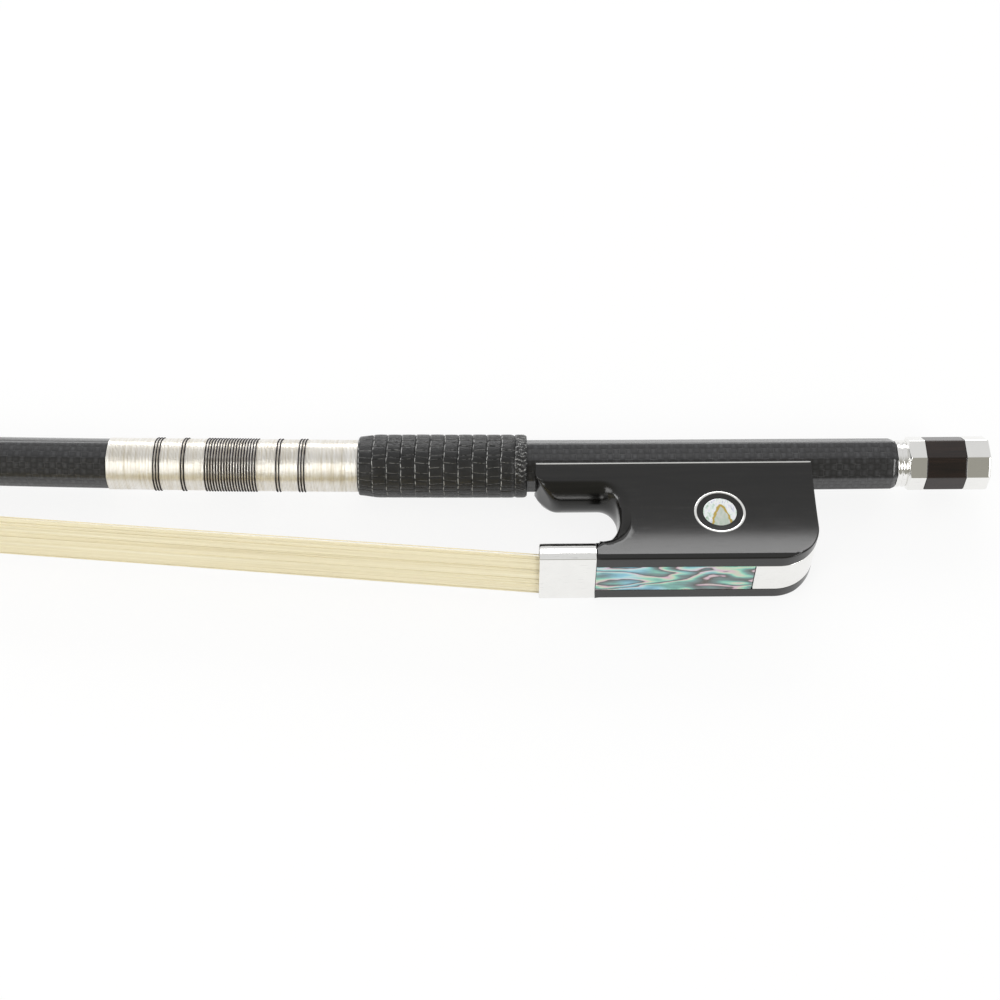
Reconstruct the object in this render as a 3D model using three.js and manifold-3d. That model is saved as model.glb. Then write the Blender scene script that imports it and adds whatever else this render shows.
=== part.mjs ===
// Cello bow lying on its side, in millimetres.
// X runs along the handle towards the button, Y points away from the hair, Z points up.
// Lengths along the handle are measured from the stick's button end, heights from the handle's axis.
import * as THREE from 'three';
import { mergeVertices } from 'three/addons/utils/BufferGeometryUtils.js';
import Module from 'manifold-3d';

const wasm = await Module();
wasm.setup();

// Whole bow
const overallLength = 715;
const fitGap = 0.08;
const runGap = 0.12;
const overrun = 2;
const weldDistance = 0.0005;

// Stick
const handleFlats = 9.7;
const handleEndFlats = 9.43;
const tipFlats = 6.8;
const endChamfer = 0.9;
const camberRadius = 3774;
const camberStart = 48.2;
const cornerFadeStart = 100;
const cornerFadeEnd = 320;
const taperPower = 1.4;
const stickSides = 24;
const stickStations = 27;

// Adjusting screw and its holes
const screwDiameter = 3;
const screwNoseDiameter = 2.4;
const screwBeyondEyelet = 17;
const screwNoseLength = 9;
const screwHeadDepth = 2.2;
const boreBeyond = 2;
const eyeletSlotWidth = 4.8;
const eyeletSlotBefore = 6;
const eyeletSlotBehind = 10.4;
const eyeletSlotTop = 3;

// Button
const buttonFlats = 9.87;
const buttonLength = 18;
const collarLength = 2.1;
const collarDiameter = 9.3;
const collarGrooveDepth = 0.3;
const frontRingChamfer = 0.7;
const frontRingLength = 3.5;
const coreLength = 7.7;
const capRimLength = 0.7;
const capRimShare = 0.96;
const capFaceShare = 0.86;
const capFaceDrop = 0.25;

// Frog block
const frogSetback = 17.1;
const frogLength = 53.2;
const frogDepth = 25.8;
const frogWidth = 14.3;
const frogTopDropShare = 0.3093;
const frogTopMargin = 0.5;
const lipHeight = 1.5;
const lipBevel = 0.35;
const heelRadius = 8;

// Thumb projection and throat, measured from the frog's front
const noseForward = 0.35;
const noseForwardDrop = 5.3;
const noseUnderStart = 4.1;
const noseSweep = 2.2;
const throatTop = 9.1;
const throatTopStart = 12;
const throatBack = 15.7;
const throatTopRadius = 4.1;
const throatBottomRadius = 4;
const keelRise = 2.5;
const backWallRelief = 0.9;

// Tongue and ferrule
const ferruleSetback = 0.35;
const ferruleLength = 10.65;
const ferruleWidth = 14.24;
const ferruleHeight = 6.3;
const ferruleWall = 0.45;
const tongueSetback = 0.9;
const tongueRise = 3.5;
const archPower = 2.3;

// Slide and its channel
const slideStart = 11.1;
const heelFlatLength = 4.4;
const slideWidth = 8.4;
const channelDepth = 2.2;
const dovetailFlare = 0.5;
const inlayThickness = 0.85;
const slideNoseLength = 3;
const slideNoseThickness = 0.7;
const slideNoseWidth = 7.6;

// Heel plate
const heelPlateThickness = 0.9;
const heelPlateTop = 6.6;

// Frog mortise, its plug and the bound hair end
const mortiseShare = 0.376;
const mortiseLength = 13;
const mortiseWidth = 8.2;
const mortiseRoofShare = 0.6357;
const plugLength = 11.4;
const plugHeight = 2.7;
const knotDiameter = 3.8;
const knotLength = 7.2;

// Underslide lining and eyelet
const liningThickness = 0.45;
const liningInset = 0.15;
const eyeletShare = 0.4944;
const eyeletLength = 5;
const eyeletWidth = 4.2;
const eyeletHeadTop = 2.5;
const eyeletHeadDrop = 3.4;
const eyeletStemDiameter = 3.6;
const eyeletStemShare = 0.504;

// Side eyes
const eyeShare = 0.6536;
const eyeDropShare = 0.5426;
const eyeDiameter = 9.75;
const eyeRingWall = 0.62;
const eyeDotDiameter = 6.4;
const eyeDepth = 1.2;

// Leather grip
const gripGapToFrog = 1.6;
const gripLength = 32.8;
const gripDiameter = 12.35;
const gripNeckDiameter = 10.9;
const gripNeckLength = 4;
const gripLipLength = 1.2;
const gripLipDiameter = 12;
const gripCornerShare = 0.22;

// Wire winding and the dark thread bands, places measured from the winding's left end
const windingLength = 48.9;
const windingFlats = 10.05;
const windingCornerShare = 0.55;
const threadDiameter = 0.13;
const threadLift = 0.06;
const threadBands = [
  { start: 9, turns: 3, pitch: 0.55 },
  { start: 14.4, turns: 2, pitch: 0.55 },
  { start: 19.1, turns: 19, pitch: 0.542 },
  { start: 32.9, turns: 2, pitch: 0.58 },
  { start: 37.2, turns: 3, pitch: 0.55 },
];
const threadSides = 4;

// Hair
const hairThickness = 1.1;
const hairWidthFrog = 12.9;
const hairWidthHead = 10.6;
const hairWidthMortise = 7;
const hairRidgeDepth = 0.12;
const hairRidges = 13;
const hairNarrowEnd = 10.4;
const hairEndGap = 0.15;
const wedgeLength = 6.6;
const wedgeTip = 0.35;

// Head, lengths from the back edge of the head plate and heights from its outer face
const headLength = 27;
const headDepth = 19.9;
const headWidth = 12;
const headPlateThickness = 0.9;
const headLinerThickness = 0.9;
const headMortiseStart = 5.1;
const headMortiseLength = 9.8;
const headMortiseWidth = 7.4;
const headMortiseDepth = 7.6;
const headPlugLength = 8.5;
const headPlugHeight = 3;
const headKnotDiameter = 3.2;
const stickNoseStart = 2;
const stickNoseEnd = 10;
const stickNoseShare = 0.4;

// Levels of the head as shares of its depth, length and width: height, back, front, width
const headLevelShares = [
  [0.0, 0.0, 1.0, 1.0],
  [0.09, 0.015, 0.975, 0.98],
  [0.2, 0.05, 0.905, 0.88],
  [0.38, 0.12, 0.825, 0.76],
  [0.53, 0.165, 0.78, 0.68],
  [0.66, 0.155, 0.755, 0.62],
  [0.77, 0.07, 0.735, 0.59],
  [0.85, -0.1, 0.715, 0.58],
  [0.97, -0.22, 0.67, 0.58],
  [1.06, -0.26, 0.6, 0.5],
  [1.12, -0.28, 0.52, 0.36],
  [1.155, -0.28, 0.44, 0.18],
];
// Plan of one level, half of it: share of the length, share of the half width
const headPlanShares = [
  [0, 0.62],
  [0.03, 0.84],
  [0.14, 0.97],
  [0.36, 1],
  [0.58, 0.88],
  [0.78, 0.62],
  [0.93, 0.28],
  [1, 0.06],
];

// Solids, joins and cuts

function facingOut(geometry) {
  const position = geometry.attributes.position;
  const index = geometry.index.array;
  const [a, b, c] = [new THREE.Vector3(), new THREE.Vector3(), new THREE.Vector3()];
  let volume = 0;
  for (let i = 0; i < index.length; i += 3) {
    a.fromBufferAttribute(position, index[i]);
    b.fromBufferAttribute(position, index[i + 1]);
    c.fromBufferAttribute(position, index[i + 2]);
    volume += a.dot(b.cross(c));
  }
  if (volume < 0) {
    for (let i = 0; i < index.length; i += 3) {
      [index[i], index[i + 1]] = [index[i + 1], index[i]];
    }
  }
  return geometry;
}

// Shared corners are welded and triangles that collapse in the weld are dropped.
function welded(source) {
  const bare = new THREE.BufferGeometry();
  bare.setAttribute('position', source.getAttribute('position'));
  bare.setIndex(source.getIndex());
  const merged = mergeVertices(bare, weldDistance);
  const kept = [];
  const index = merged.index.array;
  for (let i = 0; i < index.length; i += 3) {
    const [a, b, c] = [index[i], index[i + 1], index[i + 2]];
    if (a !== b && b !== c && c !== a) kept.push(a, b, c);
  }
  merged.setIndex(kept);
  return facingOut(merged);
}

function solidOf(geometry) {
  const closed = welded(geometry);
  return new wasm.Manifold(new wasm.Mesh({
    numProp: 3,
    vertProperties: new Float32Array(closed.attributes.position.array),
    triVerts: new Uint32Array(closed.index.array),
  }));
}

function geometryOf(solid) {
  const mesh = solid.getMesh();
  const geometry = new THREE.BufferGeometry();
  geometry.setAttribute('position', new THREE.BufferAttribute(mesh.vertProperties, 3));
  geometry.setIndex(new THREE.BufferAttribute(mesh.triVerts, 1));
  return geometry;
}

// Rings of equal counts joined one after another, both ends closed.
function loft(rings, flatten) {
  const count = rings[0].length;
  const positions = rings.flat().flatMap((p) => [p.x, p.y, p.z]);
  const index = [];
  for (let r = 0; r < rings.length - 1; r += 1) {
    for (let i = 0; i < count; i += 1) {
      const j = (i + 1) % count;
      const [a, b, c, d] = [r * count + i, r * count + j, (r + 1) * count + j, (r + 1) * count + i];
      index.push(a, b, c, a, c, d);
    }
  }
  const last = (rings.length - 1) * count;
  for (const [a, b, c] of THREE.ShapeUtils.triangulateShape(rings[0].map(flatten), [])) {
    index.push(c, b, a);
  }
  for (const [a, b, c] of THREE.ShapeUtils.triangulateShape(rings.at(-1).map(flatten), [])) {
    index.push(last + a, last + b, last + c);
  }
  // The end caps of a ring that turns the other way round are wound to match its walls.
  const turned = THREE.ShapeUtils.isClockWise(rings[0].map(flatten));
  const capStart = (rings.length - 1) * count * 6;
  if (turned) {
    for (let i = capStart; i < index.length; i += 3) {
      [index[i], index[i + 1]] = [index[i + 1], index[i]];
    }
  }
  const geometry = new THREE.BufferGeometry();
  geometry.setAttribute('position', new THREE.Float32BufferAttribute(positions, 3));
  geometry.setIndex(index);
  return geometry;
}

// A sleeve: outer rings one way, inner rings back, joined into one closed wall.
function sleeve(outerRings, innerRings) {
  const rings = [...outerRings, ...innerRings.slice().reverse()];
  const count = rings[0].length;
  const positions = rings.flat().flatMap((p) => [p.x, p.y, p.z]);
  const index = [];
  for (let r = 0; r < rings.length; r += 1) {
    const next = (r + 1) % rings.length;
    for (let i = 0; i < count; i += 1) {
      const j = (i + 1) % count;
      const [a, b, c, d] = [r * count + i, r * count + j, next * count + j, next * count + i];
      index.push(a, b, c, a, c, d);
    }
  }
  const geometry = new THREE.BufferGeometry();
  geometry.setAttribute('position', new THREE.Float32BufferAttribute(positions, 3));
  geometry.setIndex(index);
  return geometry;
}

// Shapes drawn in Z and Y and pushed along X, or drawn in X and Y and pushed across Z.

function alongX(points, fromX, toX, hole) {
  const shape = new THREE.Shape(points);
  if (hole) shape.holes.push(new THREE.Path(hole.slice().reverse()));
  const geometry = new THREE.ExtrudeGeometry(shape, { depth: toX - fromX, bevelEnabled: false });
  const turn = new THREE.Matrix4().makeBasis(
    new THREE.Vector3(0, 0, -1),
    new THREE.Vector3(0, 1, 0),
    new THREE.Vector3(1, 0, 0),
  );
  return geometry.applyMatrix4(turn).translate(fromX, 0, 0);
}

function acrossZ(points, width) {
  const shape = new THREE.Shape(points);
  const geometry = new THREE.ExtrudeGeometry(shape, { depth: width, bevelEnabled: false });
  return geometry.translate(0, 0, -width / 2);
}

function block(fromX, toX, fromY, toY, width) {
  const box = new THREE.BoxGeometry(toX - fromX, toY - fromY, width);
  return box.translate((fromX + toX) / 2, (fromY + toY) / 2, 0);
}

function rodX(diameter, fromX, toX, sides = 24) {
  const rod = new THREE.CylinderGeometry(diameter / 2, diameter / 2, toX - fromX, sides);
  return rod.rotateZ(Math.PI / 2).translate((fromX + toX) / 2, 0, 0);
}

function turnedX(profile, sides = 32) {
  const points = profile.map(([radius, x]) => new THREE.Vector2(radius, x));
  return new THREE.LatheGeometry(points, sides).rotateZ(-Math.PI / 2);
}

function at(x, y) {
  return new THREE.Vector2(x, y);
}

function arc(centreX, centreY, radiusX, radiusY, fromAngle, toAngle, steps = 8) {
  return Array.from({ length: steps + 1 }, (_, i) => {
    const angle = fromAngle + ((toAngle - fromAngle) * i) / steps;
    return at(centreX + radiusX * Math.cos(angle), centreY + radiusY * Math.sin(angle));
  });
}

// Half an outline on the near side, listed from top to bottom, is closed by its mirror image.
function mirrored(half) {
  return [...half, ...half.slice().reverse().map((p) => at(-p.x, p.y))];
}

const quarter = Math.PI / 2;
const eighth = Math.PI / 4;
const cornerReach = Math.tan(eighth / 2);

function octagon(flats) {
  const radius = flats / 2 / Math.cos(eighth / 2);
  return Array.from({ length: 8 }, (_, i) => {
    const angle = eighth * (i + 0.5);
    return at(radius * Math.cos(angle), radius * Math.sin(angle));
  });
}

// Stick: a soft octagon that rounds off and tapers towards the head along the cambered axis

const stickLength = overallLength - buttonLength;
const handleFrontX = -(frogSetback + frogLength);
const eyeletSetback = frogSetback + frogLength * (1 - eyeletShare);
const eyeletSlotFront = eyeletSetback + eyeletSlotBefore;
const eyeletSlotRear = eyeletSetback - eyeletSlotBehind;
const screwReach = eyeletSetback + screwBeyondEyelet;

function axisRise(x) {
  const reach = Math.max(0, -camberStart - x);
  return reach ** 2 / (2 * camberRadius);
}

function axisSlope(x) {
  const reach = Math.max(0, -camberStart - x);
  return Math.atan(-reach / camberRadius);
}

function flatsAt(x) {
  if (x > handleFrontX) {
    return handleFlats + ((handleEndFlats - handleFlats) * (x - handleFrontX)) / -handleFrontX;
  }
  const share = (handleFrontX - x) / (stickLength + handleFrontX);
  return handleFlats - (handleFlats - tipFlats) * share ** taperPower;
}

function cornerShareAt(x) {
  const share = (-x - cornerFadeStart) / (cornerFadeEnd - cornerFadeStart);
  return 1 - Math.min(1, Math.max(0, share));
}

function octagonStretch(angle, cornerShare) {
  const fromFlat = Math.abs(((angle + eighth / 2) % eighth) - eighth / 2);
  return 1 + cornerShare * (1 / Math.cos(fromFlat) - 1);
}

function ringAngle(i) {
  return (Math.PI * 2 * (i + 0.5)) / stickSides;
}

// One point off the axis at x: along the section's own normal and across it.
function offAxis(x, radius, angle) {
  const slope = axisSlope(x);
  const lift = radius * Math.sin(angle);
  const side = radius * Math.cos(angle);
  return new THREE.Vector3(x - lift * Math.sin(slope), axisRise(x) + lift * Math.cos(slope), side);
}

function stickRing(x, flats, cornerShare) {
  return Array.from({ length: stickSides }, (_, i) => {
    const angle = ringAngle(i);
    return offAxis(x, (flats / 2) * octagonStretch(angle, cornerShare), angle);
  });
}

const zyPlane = (p) => at(-p.z, p.y);
const zxPlane = (p) => at(p.z, p.x);
const xyPlane = (p) => at(p.x, p.y);

// Head: its place is found from the hair's straight run to the frog

const noseTipX = -stickLength;
const hairMouthX = -(frogSetback + frogLength) + ferruleSetback;
const hairMouthY = -(frogDepth - ferruleWall - fitGap - hairThickness / 2);
let headTilt = 0;
let headBackX = noseTipX + headLength;
let headBackY = 0;
for (let pass = 0; pass < 4; pass += 1) {
  headBackX = noseTipX + headLength * Math.cos(headTilt);
  headBackY = axisRise(headBackX) - headDepth;
  headTilt = Math.atan2(headBackY - hairMouthY, hairMouthX - headBackX);
}
const hairTopGap = hairThickness / 2 + hairRidgeDepth / 2 + fitGap;

function placedOnHead(geometry) {
  return geometry.translate(0, hairTopGap, 0).rotateZ(-headTilt).translate(headBackX, headBackY, 0);
}

function headLevel([heightShare, backShare, frontShare, widthShare], minHeight) {
  const height = Math.max(heightShare * headDepth, minHeight);
  const back = backShare * headLength;
  const front = frontShare * headLength;
  const half = (widthShare * headWidth) / 2;
  const side = headPlanShares.map(([along, across]) => [back + (front - back) * along, half * across]);
  const ring = [...side, ...side.slice().reverse().map(([along, across]) => [along, -across])];
  return ring.map(([along, across]) => new THREE.Vector3(-along, height, across));
}

function headSlice(fromHeight, toHeight) {
  const [bottom] = headLevelShares;
  const rings = [fromHeight, toHeight].map((height) => headLevel([0, ...bottom.slice(1)], height));
  return placedOnHead(loft(rings, zxPlane));
}

function headBlock(fromAlong, toAlong, fromHeight, toHeight, width) {
  return placedOnHead(block(-toAlong, -fromAlong, fromHeight, toHeight, width));
}

const headBodyBottom = headPlateThickness + headLinerThickness + fitGap * 2;
const headMortiseEnd = headMortiseStart + headMortiseLength;

function stickSolid() {
  const firstX = -endChamfer;
  const lastX = headBackX - stickNoseStart;
  const rings = [stickRing(0, handleEndFlats - endChamfer * 2 * cornerReach, 1)];
  rings.push(stickRing(firstX, flatsAt(firstX), 1));
  for (let i = 0; i <= stickStations; i += 1) {
    const x = -camberStart + ((lastX + camberStart) * i) / stickStations;
    rings.push(stickRing(x, flatsAt(x), cornerShareAt(x)));
  }
  const hiddenX = headBackX - stickNoseEnd;
  rings.push(stickRing(hiddenX, flatsAt(hiddenX) * stickNoseShare, 0));
  const headRings = headLevelShares.map((level) => headLevel(level, headBodyBottom));
  const head = solidOf(placedOnHead(loft(headRings, zxPlane)));
  const headMortise = headBlock(
    headMortiseStart,
    headMortiseEnd,
    -overrun,
    headMortiseDepth,
    headMortiseWidth,
  );
  const bore = rodX(screwDiameter + runGap * 2, -(screwReach - screwNoseLength), overrun);
  const nose = rodX(screwNoseDiameter + runGap * 2, -(screwReach + boreBeyond), -eyeletSlotFront);
  const slot = block(-eyeletSlotFront, -eyeletSlotRear, -handleFlats, eyeletSlotTop, eyeletSlotWidth);
  return solidOf(loft(rings, zyPlane))
    .add(head)
    .subtract(solidOf(headMortise))
    .subtract(solidOf(bore))
    .subtract(solidOf(nose))
    .subtract(solidOf(slot));
}

function headPlatePiece(fromHeight, thickness) {
  const opening = headBlock(headMortiseStart, headMortiseEnd, -overrun, headDepth, headMortiseWidth);
  return solidOf(headSlice(fromHeight, fromHeight + thickness)).subtract(solidOf(opening));
}

function headPlug() {
  const end = headMortiseEnd - fitGap;
  return headBlock(end - headPlugLength, end, fitGap, headPlugHeight, headMortiseWidth - fitGap * 2);
}

function headKnot() {
  const width = hairWidthMortise - fitGap * 2;
  const start = headMortiseStart + fitGap;
  const centreHeight = headMortiseDepth - fitGap - headKnotDiameter / 2;
  const knot = new THREE.CylinderGeometry(headKnotDiameter / 2, headKnotDiameter / 2, width, 16);
  knot.rotateX(quarter).translate(-(start + headKnotDiameter / 2), centreHeight, 0);
  const tail = block(-(start + hairThickness), -start, hairThickness / 2, centreHeight, width);
  return solidOf(placedOnHead(knot)).add(solidOf(placedOnHead(tail)));
}

// Frog

const frogFrontX = -(frogSetback + frogLength);
const frogRearX = -frogSetback;
const frogTopDrop = handleFlats * frogTopDropShare;
const frogTopWidth = handleFlats + frogTopMargin;
const tongueBottom = frogDepth - tongueRise;
const mortiseRoof = frogDepth * mortiseRoofShare;
const eyeletStemDrop = frogDepth * eyeletStemShare;
const eyeDrop = frogDepth * eyeDropShare;
const liningInner = handleFlats / 2 + runGap;
const liningOuter = liningInner + liningThickness;
const channelWall = liningOuter + fitGap;
const lipHalf = frogWidth / 2;

function fromFrogFront(along, y) {
  return at(frogFrontX + along, y);
}

// The three lower faces of an octagon, cut off level with the frog's top.
function channelHalf(inradius, topDrop) {
  const top = at(inradius * (1 + cornerReach) - topDrop, -topDrop);
  return [top, at(inradius * cornerReach, -inradius)];
}

// The side hollows outward from upright at the top to the narrow lip at the bottom.
function flankAt(y) {
  const share = (-frogTopDrop - y) / (frogDepth - lipHeight - frogTopDrop);
  return frogTopWidth / 2 + ((frogWidth - frogTopWidth) / 2) * share ** 2;
}

function frogSection() {
  const steps = 9;
  const flank = Array.from({ length: steps + 1 }, (_, i) => {
    const y = -frogTopDrop - ((frogDepth - lipHeight - frogTopDrop) * i) / steps;
    return at(flankAt(y), y);
  });
  const lip = [at(lipHalf, -(frogDepth - lipBevel)), at(lipHalf - lipBevel, -frogDepth)];
  const channel = channelHalf(channelWall, frogTopDrop).reverse();
  return mirrored([...channel, ...flank, ...lip]);
}

function frogProfile() {
  const heelY = -(frogDepth - heelRadius);
  return [
    fromFrogFront(-noseForward, handleFlats),
    fromFrogFront(-noseForward, -frogDepth),
    ...arc(frogRearX - heelRadius, heelY, heelRadius, heelRadius, -quarter, 0, 12),
    at(frogRearX, handleFlats),
  ];
}

// Height of the D-shaped arch of half width and height given, at a place across it.
function archHeight(across, halfWidth, height) {
  const share = Math.min(1, Math.abs(across) / halfWidth);
  return height * (1 - share ** archPower) ** (1 / archPower);
}

// Half width left under the same arch at a height above its base.
function archReach(above, halfWidth, height) {
  return halfWidth * (1 - (above / height) ** archPower) ** (1 / archPower);
}

function archOutline(halfWidth, height, baseY, steps = 10) {
  const half = Array.from({ length: steps + 1 }, (_, i) => {
    const across = halfWidth * Math.sin((quarter * i) / steps);
    return at(across, baseY + archHeight(across, halfWidth, height));
  });
  return [...half.slice(0, -1), at(halfWidth, baseY)];
}

// Nose, thumb notch and tongue as one outline for each place across the frog: the notch is wider
// and the nose further back towards both sides.
function throatRing(z) {
  const side = Math.min(1, Math.abs(z) / (frogTopWidth / 2));
  const round = 1 - Math.sqrt(1 - side ** 2);
  const top = -throatTop + keelRise * round;
  const back = throatBack + backWallRelief * round;
  const floor = -frogDepth + archHeight(z, lipHalf, ferruleHeight);
  const upperY = -(throatTop + throatTopRadius);
  const lowerY = upperY - throatBottomRadius / 2;
  const lowerX = throatBack - throatBottomRadius;
  const noseX = -noseForward + noseSweep * round;
  const noseEndX = noseUnderStart + (noseSweep * round) / 2;
  const outline = [
    at(-overrun, -frogTopDrop),
    at(0, -frogTopDrop),
    ...arc(noseEndX, -noseForwardDrop, noseEndX - noseX, -(noseForwardDrop + top), -Math.PI, -quarter, 6),
    ...arc(throatTopStart, upperY, back - throatTopStart, top - upperY, quarter, 0),
    ...arc(lowerX, lowerY, back - lowerX, lowerY - floor, 0, -quarter),
    at(-overrun, floor),
  ];
  return outline.map((p) => new THREE.Vector3(frogFrontX + p.x, p.y, z));
}

function throatCutter() {
  const steps = 7;
  const nosePlaces = Array.from({ length: steps }, (_, i) => Math.sin((quarter * i) / (steps - 1)));
  const archShares = [0.3, 0.55, 0.75, 0.88, 0.96, 1];
  const topHalf = frogTopWidth / 2;
  const half = [
    ...nosePlaces.map((share) => share * topHalf),
    ...archShares.map((share) => topHalf + share * (lipHalf - topHalf)),
    lipHalf + overrun,
  ];
  const all = [...half.slice(1).reverse().map((z) => -z), ...half];
  return loft(all.map(throatRing), xyPlane);
}

const channelTop = -(frogDepth - channelDepth);
const slideEnd = frogLength - heelRadius - heelFlatLength;
const mortiseStart = frogLength * mortiseShare;

// Half width of the dovetail at a height, so that every layer of the slide fits one pair of flanks.
function dovetailHalf(y, clearance) {
  return slideWidth / 2 + (dovetailFlare * (y + frogDepth)) / channelDepth - clearance;
}

function dovetailLayer(fromY, toY, clearance) {
  return mirrored([at(dovetailHalf(toY, clearance), toY), at(dovetailHalf(fromY, clearance), fromY)]);
}

function heelBand(outerInset, innerInset, startX, topY) {
  const centreX = frogRearX - heelRadius;
  const centreY = -(frogDepth - heelRadius);
  const outerRadius = heelRadius - outerInset;
  const innerRadius = heelRadius - innerInset;
  return [
    at(startX, -frogDepth + outerInset),
    ...arc(centreX, centreY, outerRadius, outerRadius, -quarter, 0, 12),
    at(frogRearX - outerInset, topY),
    at(frogRearX - innerInset, topY),
    ...arc(centreX, centreY, innerRadius, innerRadius, 0, -quarter, 12),
    at(startX, -frogDepth + innerInset),
  ];
}

const eyeX = frogFrontX + frogLength * eyeShare;
const eyeletX = -eyeletSetback;

function eyeDisc(diameter, side, depth, reach) {
  const disc = new THREE.CylinderGeometry(diameter / 2, diameter / 2, depth + reach, 36);
  const surface = flankAt(-eyeDrop);
  disc.rotateX(quarter).translate(eyeX, -eyeDrop, side * (surface + (reach - depth) / 2));
  return solidOf(disc);
}

function tongueSolid() {
  const inset = ferruleWall + fitGap;
  const half = ferruleWidth / 2 - inset;
  const height = ferruleHeight - inset;
  const arch = archOutline(half, height, -frogDepth);
  const outline = mirrored(arch).filter((p, i, all) => i === 0 || p.distanceTo(all[i - 1]) > fitGap / 2);
  const tongue = solidOf(alongX(outline, frogFrontX + tongueSetback, frogFrontX + slideStart + overrun));
  const below = block(frogFrontX - overrun, frogRearX, -frogDepth - overrun, -tongueBottom, frogWidth);
  return tongue.subtract(solidOf(below));
}

const frogBlank = solidOf(alongX(frogSection(), frogFrontX - overrun, frogRearX + overrun))
  .intersect(solidOf(acrossZ(frogProfile(), frogWidth + overrun)));

function frogSolid() {
  const ferruleBack = frogFrontX + ferruleSetback + ferruleLength + fitGap;
  const front = block(
    frogFrontX - overrun,
    ferruleBack,
    -frogDepth - overrun,
    -(throatTop + frogDepth) / 2,
    frogWidth + overrun,
  );
  const slideCut = alongX(
    dovetailLayer(-frogDepth - overrun, channelTop, -fitGap),
    frogFrontX,
    frogFrontX + slideEnd + fitGap,
  );
  const heelCut = acrossZ(
    heelBand(-overrun, heelPlateThickness + fitGap, frogFrontX + slideEnd - overrun, -heelPlateTop + fitGap),
    slideWidth + fitGap * 2,
  );
  const hairWay = block(
    frogFrontX,
    frogFrontX + mortiseStart + overrun,
    -frogDepth,
    -tongueBottom,
    mortiseWidth,
  );
  const mortise = block(
    frogFrontX + mortiseStart,
    frogFrontX + mortiseStart + mortiseLength,
    -frogDepth,
    -mortiseRoof,
    mortiseWidth,
  );
  const stemHole = new THREE.CylinderGeometry(
    eyeletStemDiameter / 2 + fitGap,
    eyeletStemDiameter / 2 + fitGap,
    eyeletStemDrop + fitGap,
    20,
  ).translate(eyeletX, -(eyeletStemDrop + fitGap) / 2, 0);
  let frog = frogBlank
    .subtract(solidOf(throatCutter()))
    .subtract(solidOf(front))
    .add(tongueSolid())
    .subtract(solidOf(slideCut))
    .subtract(solidOf(heelCut))
    .subtract(solidOf(hairWay))
    .subtract(solidOf(mortise))
    .subtract(solidOf(stemHole));
  for (const side of [-1, 1]) {
    const ringPocket = eyeDisc(eyeDiameter + fitGap * 2, side, eyeDepth + fitGap, overrun);
    const island = eyeDisc(eyeDiameter - (eyeRingWall + fitGap) * 2, side, eyeDepth + overrun, overrun * 2);
    const dotPocket = eyeDisc(eyeDotDiameter + fitGap * 2, side, eyeDepth + fitGap, overrun);
    frog = frog.subtract(ringPocket.subtract(island)).subtract(dotPocket);
  }
  return frog;
}

function eyeRing(side) {
  const outer = eyeDisc(eyeDiameter, side, eyeDepth, overrun);
  const inner = eyeDisc(eyeDiameter - eyeRingWall * 2, side, eyeDepth + overrun, overrun * 2);
  return outer.subtract(inner).intersect(frogBlank);
}

function eyeDot(side) {
  return eyeDisc(eyeDotDiameter, side, eyeDepth, overrun).intersect(frogBlank);
}

function underslide() {
  const inner = channelHalf(liningInner, frogTopDrop);
  const outer = channelHalf(liningOuter, frogTopDrop).reverse();
  const outline = [
    ...inner,
    ...inner.slice().reverse().map((p) => at(-p.x, p.y)),
    ...outer.slice().reverse().map((p) => at(-p.x, p.y)),
    ...outer,
  ];
  const strip = solidOf(alongX(outline, frogFrontX + liningInset, frogRearX - liningInset));
  const holeRadius = eyeletStemDiameter / 2 + fitGap;
  const hole = new THREE.CylinderGeometry(holeRadius, holeRadius, handleFlats, 20);
  return strip.subtract(solidOf(hole.translate(eyeletX, -handleFlats / 2, 0)));
}

function eyelet() {
  const half = eyeletLength / 2;
  const head = block(eyeletX - half, eyeletX + half, -eyeletHeadDrop, eyeletHeadTop, eyeletWidth);
  const stemLength = eyeletStemDrop - eyeletHeadDrop / 2;
  const stemRadius = eyeletStemDiameter / 2;
  const stem = new THREE.CylinderGeometry(stemRadius, stemRadius, stemLength, 20);
  stem.translate(eyeletX, -(eyeletHeadDrop / 2 + stemLength / 2), 0);
  const bore = rodX(screwDiameter + runGap * 2, eyeletX - eyeletLength, eyeletX + eyeletLength);
  return solidOf(head).add(solidOf(stem)).subtract(solidOf(bore));
}

function ferrule() {
  const outer = archOutline(ferruleWidth / 2, ferruleHeight, -frogDepth);
  const innerHalf = ferruleWidth / 2 - ferruleWall;
  const inner = archOutline(innerHalf, ferruleHeight - ferruleWall * 2, -frogDepth + ferruleWall);
  const closed = (half) => mirrored(half).slice(0, -1);
  const startX = frogFrontX + ferruleSetback;
  return alongX(closed(outer), startX, startX + ferruleLength, closed(inner));
}

// Hair leaves the ferrule's mouth and narrows and rises inside it to the mortise.
const hairInnerY = -(tongueBottom + fitGap + hairRidgeDepth / 2 + hairThickness / 2);

function hairRing(x, y, width) {
  const count = hairRidges * 2;
  const across = (i) => width * (i / count - 1 / 2);
  const ridge = (i) => (i % 2 === 0 ? -hairRidgeDepth / 2 : hairRidgeDepth / 2);
  const half = hairThickness / 2;
  const placeOn = (i) => new THREE.Vector3(x, y + half + ridge(i), across(i));
  const top = Array.from({ length: count + 1 }, (_, i) => placeOn(i));
  const bottom = top.map((p, i) => new THREE.Vector3(x, y - half - ridge(i), p.z));
  return [...top, ...bottom.reverse()];
}

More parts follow.
